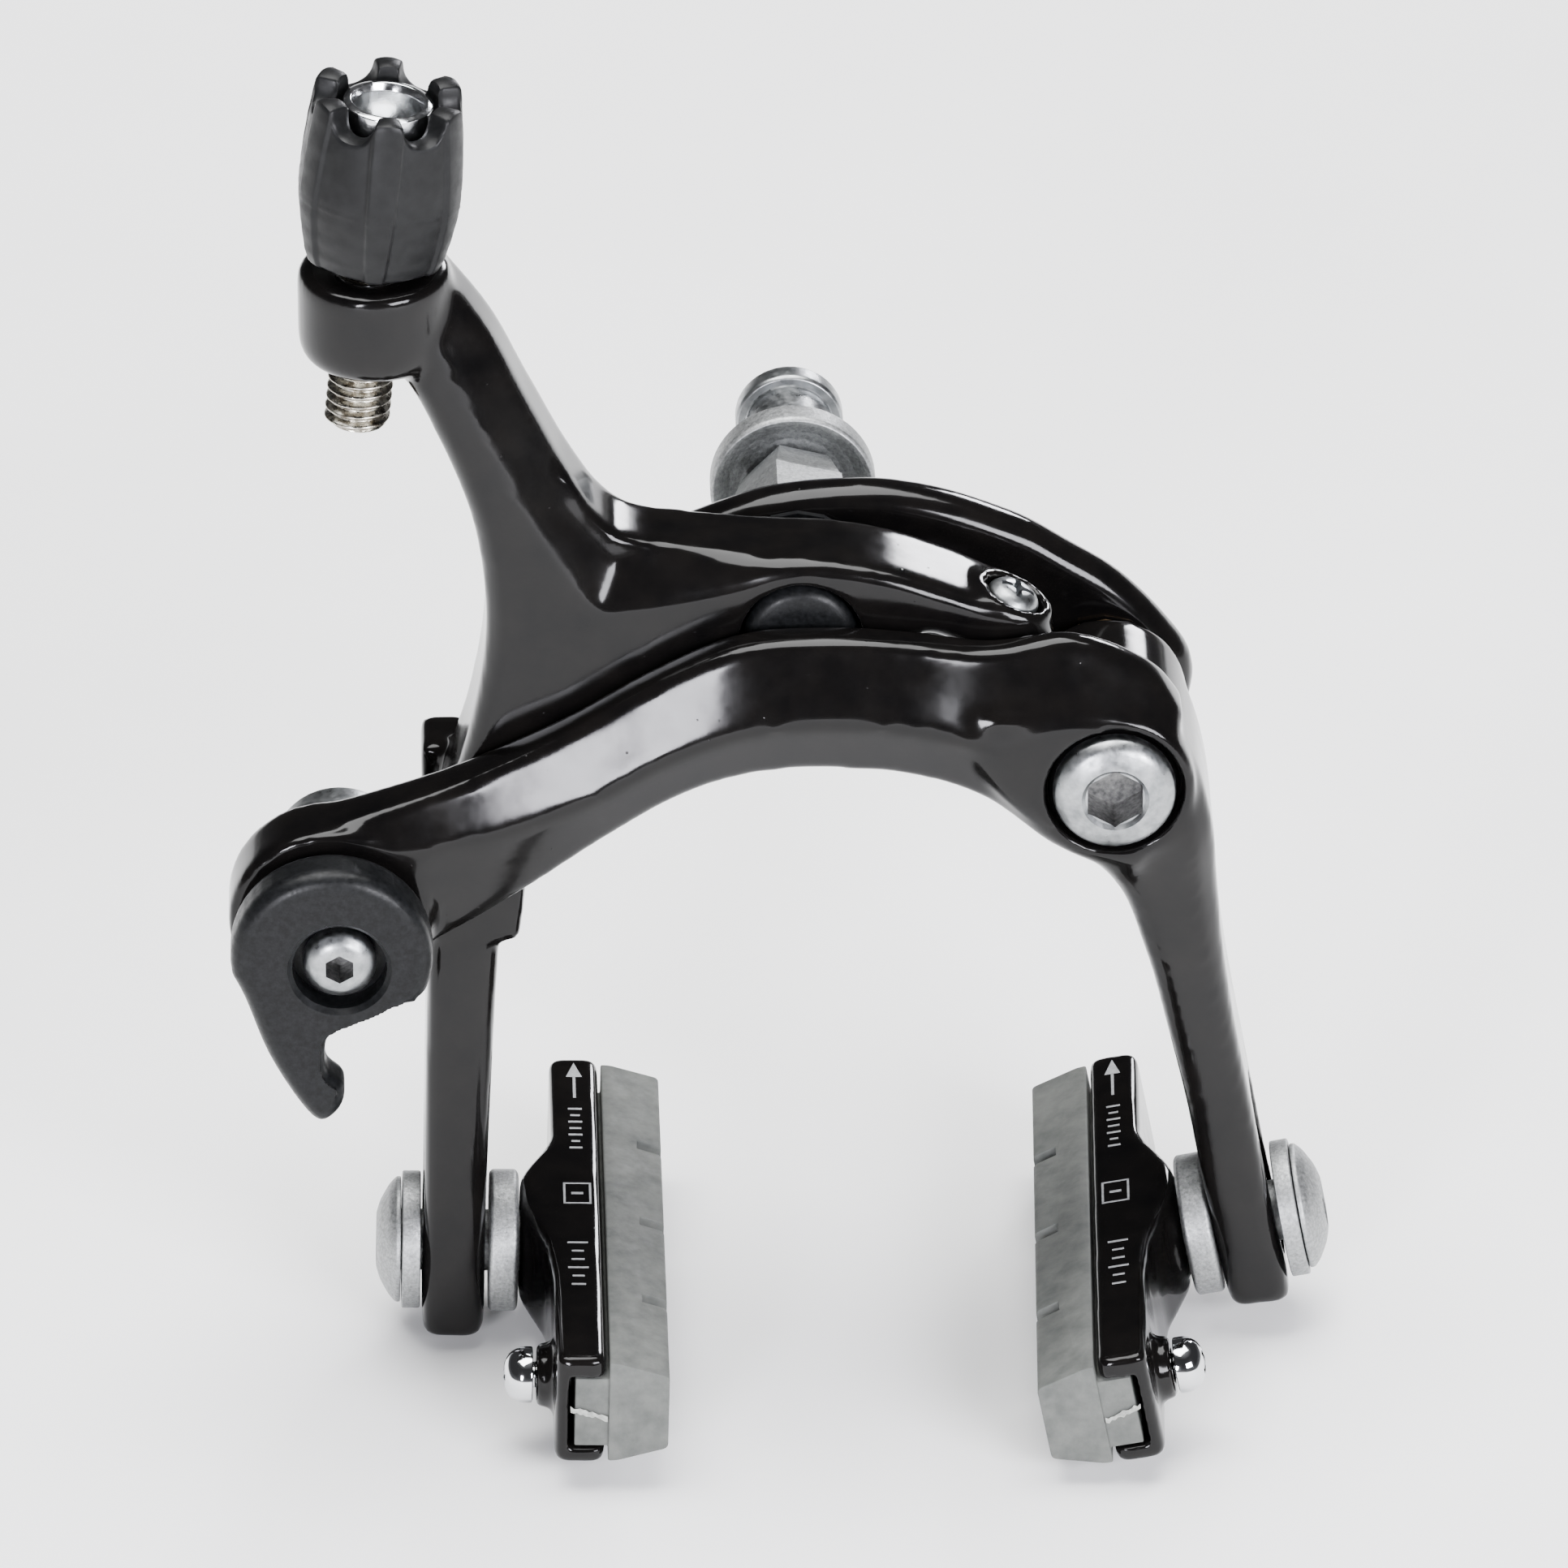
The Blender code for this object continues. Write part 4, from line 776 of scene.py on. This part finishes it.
def make_knob():
    tabs, sides, rows = 6, 360, 64
    base, top, notch = 5.4, 21.8, 2.5
    inner, floor_height = 4.75, 15.5
    tab_half = 0.36  # of the way from a tab's middle to the next notch's middle
    work = bmesh.new()
    columns = []
    for i in range(sides):
        angle = 2 * math.pi * i / sides
        from_tab = (angle * tabs / (2 * math.pi)) % 1.0
        from_tab = min(from_tab, 1.0 - from_tab) * 2.0
        dip = min(max((from_tab - tab_half) / (1.0 - tab_half), 0.0), 1.0)
        dip = math.sqrt(max(1.0 - (1.0 - dip) ** 2.4, 0.0))
        crown = top - notch * dip - 0.25 * (from_tab / tab_half) ** 2 * (from_tab < tab_half)
        column = []
        for row in range(rows):
            height = base + (crown - 0.35 - base) * row / (rows - 1)
            wide = 0.26 + 0.14 * (height - base) / 16.0
            ridge = 1.0 / (1.0 + math.exp((from_tab - wide) * 60.0))
            seam = 0.05 * math.exp(-((height - 12.2) / 0.12) ** 2)
            facet = 0.16 * (1.0 - math.cos(math.pi * min(from_tab, 1.0))) / 2.0
            distance = knob_radius(height) - 0.10 + 0.30 * ridge - facet + seam
            if row == 0:
                distance -= 0.3
            column.append((distance, height))
        outer = column[-1][0]
        column += [(outer - 0.12, crown - 0.12), (outer - 0.42, crown), (inner + 0.5, crown),
                   (inner + 0.15, crown - 0.12), (inner, crown - 0.4)]
        column += [(inner, crown - 0.4 + (floor_height - crown + 0.4) * step / 8)
                   for step in range(1, 9)]
        column += [(3.4, floor_height), (3.4, base)]
        columns.append([work.verts.new((distance * math.cos(angle), distance * math.sin(angle), height))
                        for distance, height in column])
    for i in range(sides):
        here, there = columns[i], columns[(i + 1) % sides]
        for row in range(len(here)):
            following = (row + 1) % len(here)
            work.faces.new((here[row], there[row], there[following], here[following]))
    bmesh.ops.recalc_face_normals(work, faces=work.faces)
    knob = new_object("adjuster_grip", work, adjuster_place())
    finish_piece(shade(knob, 40), "plastic", "knob_group", "adjuster_knob")


def make_barrel():
    place = adjuster_place()
    cup = lathe("barrel_cup", [
        (3.55, 20.9, 0.1), (4.05, 20.75, 0.15), (4.05, 14.6, 0.2), (2.9, 13.6, 0.2), (2.9, 5.0, 0.2),
        (1.1, 5.0, 0.05), (1.1, 16.6, 0.1), (2.95, 17.1, 0.3), (3.05, 20.2, 0.1), (3.35, 20.9, 0.08)],
        place, closed=True)
    finish_piece(cup, "polished", "barrel_group", "adjuster_barrel")
    screw = thread("barrel_thread", place, 2.97, 1.0, -11.75, 5.2, 0.55, 72, 12)
    boolean(screw, [rod("cable_bore", place, 1.1, -13, 7, 24)])
    finish_piece(shade(screw, 50), "threaded", "barrel_group")


def make_centring_screw():
    place = centring_place()
    screw = lathe("stop_screw", [
        (0, 1.05), (1.3, 1.0, 0.2), (2.0, 0.7, 0.3), (2.45, 0.1, 0.2), (2.5, -0.8, 0.1),
        (1.5, -0.8, 0.05), (1.5, -5.4, 0.1), (1.1, -5.8, 0.1), (0, -5.8)], place)
    cuts = [box("cross", place @ Matrix.Rotation(math.pi / 2 * turn, 4, "Z"), (0, 0, 0.7),
                (3.2, 0.62, 1.5)) for turn in range(2)]
    boolean(screw, cuts + [cone("cross_mouth", place, 0.3, 1.0, 0.0, 1.2, 4)])
    finish_piece(shade(screw), "zinc", "centring_screw_group", "centring_screw")


# ---------------------------------------------------------------- shoes

def shoe_seat(name):
    """Place of a shoe, with its origin on the pad bolt's axis."""
    side, bolt, tilt, reach, yaw, pitch = SHOES[name]
    mirror = Matrix.Rotation(0.0 if side > 0 else math.pi, 4, "Z")
    return (Matrix.Translation(point(bolt[0], PAD_BOLT_Y, bolt[1])) @ Matrix.Rotation(tilt, 4, "Y")
            @ Matrix.Rotation(pitch, 4, "X") @ Matrix.Translation(point(-side * reach, 0, 0))
            @ Matrix.Rotation(yaw, 4, "Z") @ mirror)


def bolt_place(name):
    """Place of a pad bolt, centred in its leg, with local Z away from the wheel."""
    side, bolt, tilt = SHOES[name][:3]
    return along((bolt[0], PAD_BOLT_Y, bolt[1]),
                 (side * math.cos(tilt), 0.0, -side * math.sin(tilt)))


def pad_screw_place(name):
    side = SHOES[name][0]
    return (shoe_seat(name) @ Matrix.Translation(point(0, -23.4 * side, -0.5))
            @ Matrix.Rotation(math.pi / 2, 4, "Y"))


def make_pad_bolt(name):
    """Button bolt through a leg, with a flat washer outside it and a dished one inside."""
    place, body, half = bolt_place(name), name + "_bolt_group", LEG_HALF
    head, gap = half + 2.1, half + WASHER_GAP
    bolt = lathe(name + "_button_bolt", [
        (0, half + 4.5), (2.3, half + 4.4, 0.3), (3.6, half + 4.05, 0.8), (5.2, half + 3.15, 0.9),
        (5.85, half + 2.5, 0.3), (5.85, head, 0.15), (2.85, head, 0.1), (2.85, -half - 3.2, 0.1),
        (2.5, -half - 3.5, 0.1), (0, -half - 3.5)], place)
    boolean(bolt, [hex_cutter(place, 4.1, half + 2.4, half + 8),
                   cone("mouth", place, 2.1, 3.0, half + 4.0, half + 4.9)])
    finish_piece(shade(bolt), "blasted", body, name + "_pad_bolt")
    paint_socket_shade(bolt, place, 2.42, half + 3.9)
    outer = lathe(name + "_flat_washer", [
        (6.4, half + 1.98), (6.4, gap), (M6_BORE, gap, 0.05), (M6_BORE, half + 1.98, 0.05)],
        place, closed=True)
    finish_piece(outer, "blasted", body, name + "_outer_washer")
    inner = lathe(name + "_dish_washer", [
        (6.3, -gap, 0.2), (6.6, -half - 0.55, 0.2), (6.6, -half - 2.7, 0.2), (6.2, -half - 3.0, 0.2),
        (M6_BORE, -half - 3.0, 0.05), (M6_BORE, -gap, 0.05)], place, closed=True)
    finish_piece(inner, "blasted", body, name + "_inner_washer")


def make_holder(name):
    """Long holder with a channel for the pad, a round post on the bolt and a boss for its screw."""
    side, reach = SHOES[name][0], SHOES[name][3]
    seat, post_axis, screw_axis = shoe_seat(name), bolt_place(name), pad_screw_place(name)
    half, low, high = LEG_HALF, HOLDER_INNER, HOLDER_OUTER
    ahead = -PAD_AHEAD * side
    near = ahead - PAD_HALF * side
    plan = [(low, 25.5), (high, 25.5), (high, 10.8), (high + 0.7, 8.6), (high + 2.2, 5.4),
            (high + 3.0, 3.2), (high + 3.0, -1.2), (high + 2.0, -4.4), (high + 0.7, -8.4),
            (high + 0.1, -14.0), (high, -30.0), (low, -30.0)]
    body = slab("holder_body", [(x, y * side) for x, y in fillet(plan, 1.2, True)],
                HOLDER_BASE, HOLDER_TOP, seat)
    soften(body, 0.7, 3, 60, False)
    post = lathe("post", [
        (0, -half - 3.1), (4.7, -half - 3.1, 0.3), (5.0, -half - 3.8, 0.4), (5.1, -half - 5.0, 1.0),
        (4.9, low + 2.6 - reach, 0.2), (0, low + 2.6 - reach)], post_axis)
    screw_boss = lathe("screw_boss", [
        (0, high + 1.7), (2.9, high + 1.7, 0.3), (2.95, high + 0.5, 0.3), (3.9, high - 0.3, 0.5),
        (3.9, low + 2.6, 0.1), (0, low + 2.6)], screw_axis)
    holder = merge(name + "_shoe_holder", [body, post, screw_boss])
    fuse(holder, 0.3, 6)
    boolean(holder, [
        box("channel", seat, (6.2, ahead, -0.7), (4.9, 48.0, 7.4)),
        box("mouth", seat, (6.4, near + 2.4 * side, -0.7), (5.6, 6.4, 7.6)),
        rod("post_bore", post_axis, 4.0, low + 0.6 - reach, -half - 1.1, 48),
        rod("screw_bore", screw_axis, 1.5, low, high + 6, 24)])
    fuse(holder, 0.26, 3)
    finish_piece(holder, "paint", name + "_shoe_group", name + "_pad_holder")


def make_pad(name):
    """Rubber pad with chamfered long edges, three slanted slots and a tongue in the holder."""
    side, seat, ahead = SHOES[name][0], shoe_seat(name), -PAD_AHEAD * SHOES[name][0]
    top, base = 4.7, -5.7
    section = fillet([
        (5.5, top), (4.6, top - 0.05, 0.3), (0.0, top - 1.4, 0.45), (0.0, base + 1.4, 0.45),
        (4.6, base + 0.05, 0.3), (5.5, base)], 0.2, True)
    if side < 0:
        section = [(x, -z) for x, z in section]
    lengthwise = (seat @ Matrix.Translation(point(0, ahead, 0))
                  @ Matrix.Rotation(side * math.pi / 2, 4, "X"))
    insert = slab(name + "_pad_block", section, -PAD_HALF - 0.7, PAD_HALF, lengthwise)
    tongue = box("tongue", seat, (6.8, ahead - 0.5 * side, -0.7), (3.6, 52.4, 7.1))
    boolean(insert, [tongue], "UNION")
    boolean(insert, [
        box("pad_slot", seat @ Matrix.Translation(point(0.2, ahead + 14.0 * slot, 0))
            @ Matrix.Rotation(math.radians(3 * side), 4, "Z"), (0, 0, 0), (4.2, 1.5, 24.0))
        for slot in (-1, 0, 1)])
    soften(insert, 0.3, 2, 40)
    finish_piece(shade(insert), "rubber", name + "_shoe_group", name + "_pad_insert")


def make_flash(name):
    """Torn flash where the moulding gate was, across the tongue's near end."""
    side = SHOES[name][0]
    near = -PAD_AHEAD * side - PAD_HALF * side
    rng = random.Random(7 + side)
    steps = 12
    work = bmesh.new()
    lines = []
    for level in (-1, 0, 1):
        line = []
        for i in range(steps + 1):
            ragged = 0.0 if level == 0 else level * (0.12 + 0.28 * rng.random())
            line.append(work.verts.new((5.6 + 3.4 * i / steps, near + (0.02 if level else -0.10) * side,
                                        ragged - 1.2 + 0.08 * i)))
        lines.append(line)
    for lower, upper in zip(lines, lines[1:]):
        for i in range(steps):
            work.faces.new((lower[i], lower[i + 1], upper[i + 1], upper[i]))
    bmesh.ops.recalc_face_normals(work, faces=work.faces)
    torn = new_object(name + "_pad_flash", work, shoe_seat(name))
    thicken(torn, 0.12, -1.0)
    finish_piece(torn, "flash", name + "_shoe_group")


def make_pad_screw(name):
    place, low, high = pad_screw_place(name), HOLDER_INNER, HOLDER_OUTER
    screw = lathe(name + "_retaining_screw", [
        (0, high + 4.7), (1.2, high + 4.6, 0.3), (2.1, high + 4.1, 0.7), (2.6, high + 3.1, 0.4),
        (2.6, high + 2.0, 0.2), (1.2, high + 2.0, 0.05), (1.2, low + 3.0, 0.05), (0, low + 3.0)],
        place)
    boolean(screw, [
        box("cross", place @ Matrix.Rotation(math.pi / 2 * turn + 0.3, 4, "Z"), (0, 0, high + 4.4),
            (2.6, 0.55, 1.6)) for turn in range(2)])
    finish_piece(shade(screw), "chrome", name + "_shoe_group", name + "_pad_screw")


def make_prints(name):
    """Pale direction arrow and plain bars on the holder's top."""
    side = SHOES[name][0]
    flat = shoe_seat(name) @ Matrix.Translation(point(8.05, -PAD_AHEAD * side, HOLDER_TOP))
    shapes = []

    def patch(corners):
        work = bmesh.new()
        work.faces.new([work.verts.new((x, y * side, 0.0)) for x, y in corners])
        shapes.append(new_object("patch", work, flat))

    def bar(x, y, wide, tall):
        patch([(x + dx * wide / 2, y + dy * tall / 2)
               for dx, dy in ((-1, -1), (1, -1), (1, 1), (-1, 1))])

    patch(((0.0, 27.2), (-0.75, 24.6), (0.75, 24.6)))
    bar(0.0, 22.7, 0.26, 4.0)
    for i, wide in enumerate((1.3, 0.9, 1.3, 1.1, 1.3, 0.8, 1.2)):
        bar(0.0, 18.6 - 1.2 * i, wide, 0.28)
    for x in (-1.2, 1.2):
        bar(x, 3.0, 0.2, 3.6)
    for y in (1.2, 4.8):
        bar(0.0, y, 2.6, 0.2)
    bar(0.0, 3.0, 1.1, 0.35)
    for i, wide in enumerate((1.9, 1.1, 1.2, 1.9, 1.1, 1.3)):
        bar(0.1, -6.0 - 1.5 * i, wide, 0.26)
    marks = merge(name + "_shoe_print", shapes)
    thicken(marks, 0.04, 0.0)
    finish_piece(marks, "print", name + "_shoe_group")


def make_shoe(name):
    make_pad_bolt(name)
    make_holder(name)
    make_pad(name)
    make_flash(name)
    make_pad_screw(name)
    make_prints(name)


# ---------------------------------------------------------------- carried-over nodes

def make_spring():
    route = [(-29.8, -15.6, -18.8), (-26.0, -15.2, -17.4), (-20.0, -14.4, -15.2),
             (-11.0, -13.8, -13.2), (0.0, -13.8, -12.6), (10.0, -13.8, -14.6), (20.0, -14.0, -21.8),
             (27.0, -15.0, -27.4), (31.2, -15.6, -30.0)]
    curve = bpy.data.curves.new("spring_wire", "CURVE")
    curve.dimensions = "3D"
    curve.bevel_depth = 1.08 * MM
    curve.bevel_resolution = 6
    curve.use_fill_caps = True
    stops = spline_values(route, 10)
    spline = curve.splines.new("POLY")
    spline.points.add(len(stops) - 1)
    for corner, stop in zip(spline.points, stops):
        corner.co = (*point(*stop), 1.0)
    wire = bpy.data.objects.new("spring_wire", curve)
    bpy.context.scene.collection.objects.link(wire)
    graph = bpy.context.evaluated_depsgraph_get()
    mesh = bpy.data.meshes.new_from_object(wire.evaluated_get(graph))
    item = bpy.data.objects.new("spring_form", mesh)
    bpy.context.scene.collection.objects.link(item)
    discard(wire)
    finish_piece(shade(item), "spring", "mount_group", "return_spring")


def dress_nodes():
    """Materials of the CAD nodes that stay: bushes, thin washers, the cam and the spring's holder."""
    for node, look in (("centre_bush", "bronze"), ("side_bush", "bronze"),
                       ("rear_thrust_washer", "lever"), ("front_thrust_washer", "lever"),
                       ("side_thrust_washer", "bronze"), ("qr_cam", "spring"),
                       ("spring_holder", "plastic")):
        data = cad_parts[node].data
        data.materials.clear()
        data.materials.append(MATERIALS[look])


# ---------------------------------------------------------------- stage, camera and light

def make_stage():
    lowest = min(cad_box[0][2], cad_box[1][2])
    work = bmesh.new()
    bmesh.ops.create_grid(work, x_segments=2, y_segments=2, size=6000.0)
    floor = new_object("floor", work, Matrix.Translation((0, 0, lowest - 0.0004)))
    shader = Shader("floor_white", (0.86, 0.86, 0.86), 0.7)
    shader.colour(shader.noise(30), 0.3, 0.7, (0.91, 0.91, 0.905), (0.94, 0.94, 0.935))
    shader.main.inputs["Specular IOR Level"].default_value = 0.1
    floor.data.materials.append(shader.material)


def make_light(name, location, target, size, radiance, colour=(1, 1, 1)):
    data = bpy.data.lights.new(name, "AREA")
    data.shape = "RECTANGLE"
    data.size, data.size_y = size
    data.energy = radiance * math.pi * size[0] * size[1]
    data.color = colour
    item = bpy.data.objects.new(name, data)
    item.location = location
    direction = Vector(target) - Vector(location)
    item.rotation_euler = direction.to_track_quat("-Z", "Y").to_euler()
    bpy.context.scene.collection.objects.link(item)


def make_world():
    world = bpy.data.worlds.new("studio")
    bpy.context.scene.world = world
    world.use_nodes = True
    tree = world.node_tree
    where = tree.nodes.new("ShaderNodeTexCoord")
    split = tree.nodes.new("ShaderNodeSeparateXYZ")
    ramp = tree.nodes.new("ShaderNodeValToRGB")
    tree.links.new(where.outputs["Generated"], split.inputs["Vector"])
    tree.links.new(split.outputs["Z"], ramp.inputs["Fac"])
    stops = ramp.color_ramp.elements
    stops[0].position, stops[0].color = 0.0, (0.80, 0.80, 0.80, 1)
    stops[1].position, stops[1].color = 1.0, (0.30, 0.30, 0.31, 1)
    for position, level in ((0.05, 0.16), (0.30, 0.05), (0.80, 0.05)):
        stop = stops.new(position)
        stop.color = (level, level, level * 1.05, 1)
    background = tree.nodes["Background"]
    tree.links.new(ramp.outputs["Color"], background.inputs["Color"])
    background.inputs["Strength"].default_value = 1.0


def make_camera():
    data = bpy.data.cameras.new("photo_view")
    data.lens = 354.04
    data.sensor_width = 36.0
    data.clip_end = 100.0
    camera = bpy.data.objects.new("photo_view", data)
    camera.location = (-0.0334, -1.2463, 0.6870)
    camera.rotation_euler = (math.radians(60.0), 0.0, math.radians(-1.5))
    bpy.context.scene.collection.objects.link(camera)
    bpy.context.scene.camera = camera


def make_lights():
    target = (0.0, -0.025, -0.02)
    make_light("front_left", (-0.43, -1.10, 0.25), target, (0.22, 0.30), 78.0, (0.93, 0.93, 1.0))
    make_light("front_right", (0.62, -0.95, 0.44), target, (0.60, 0.36), 46.0, (0.94, 0.94, 1.0))
    make_light("back_right", (0.42, 1.00, 0.36), target, (0.20, 0.22), 50.0, (0.95, 0.95, 1.0))
    make_light("overhead", (-0.1, 0.1, 1.3), target, (1.3, 1.0), 13.5)


make_left_arm()
make_right_arm()
make_bracket()
make_mounting()
make_side_pivot()
make_quick_release()
make_knob()
make_barrel()
make_centring_screw()
make_shoe("left")
make_shoe("right")
make_spring()
dress_nodes()
make_stage()
make_world()
make_lights()
make_camera()
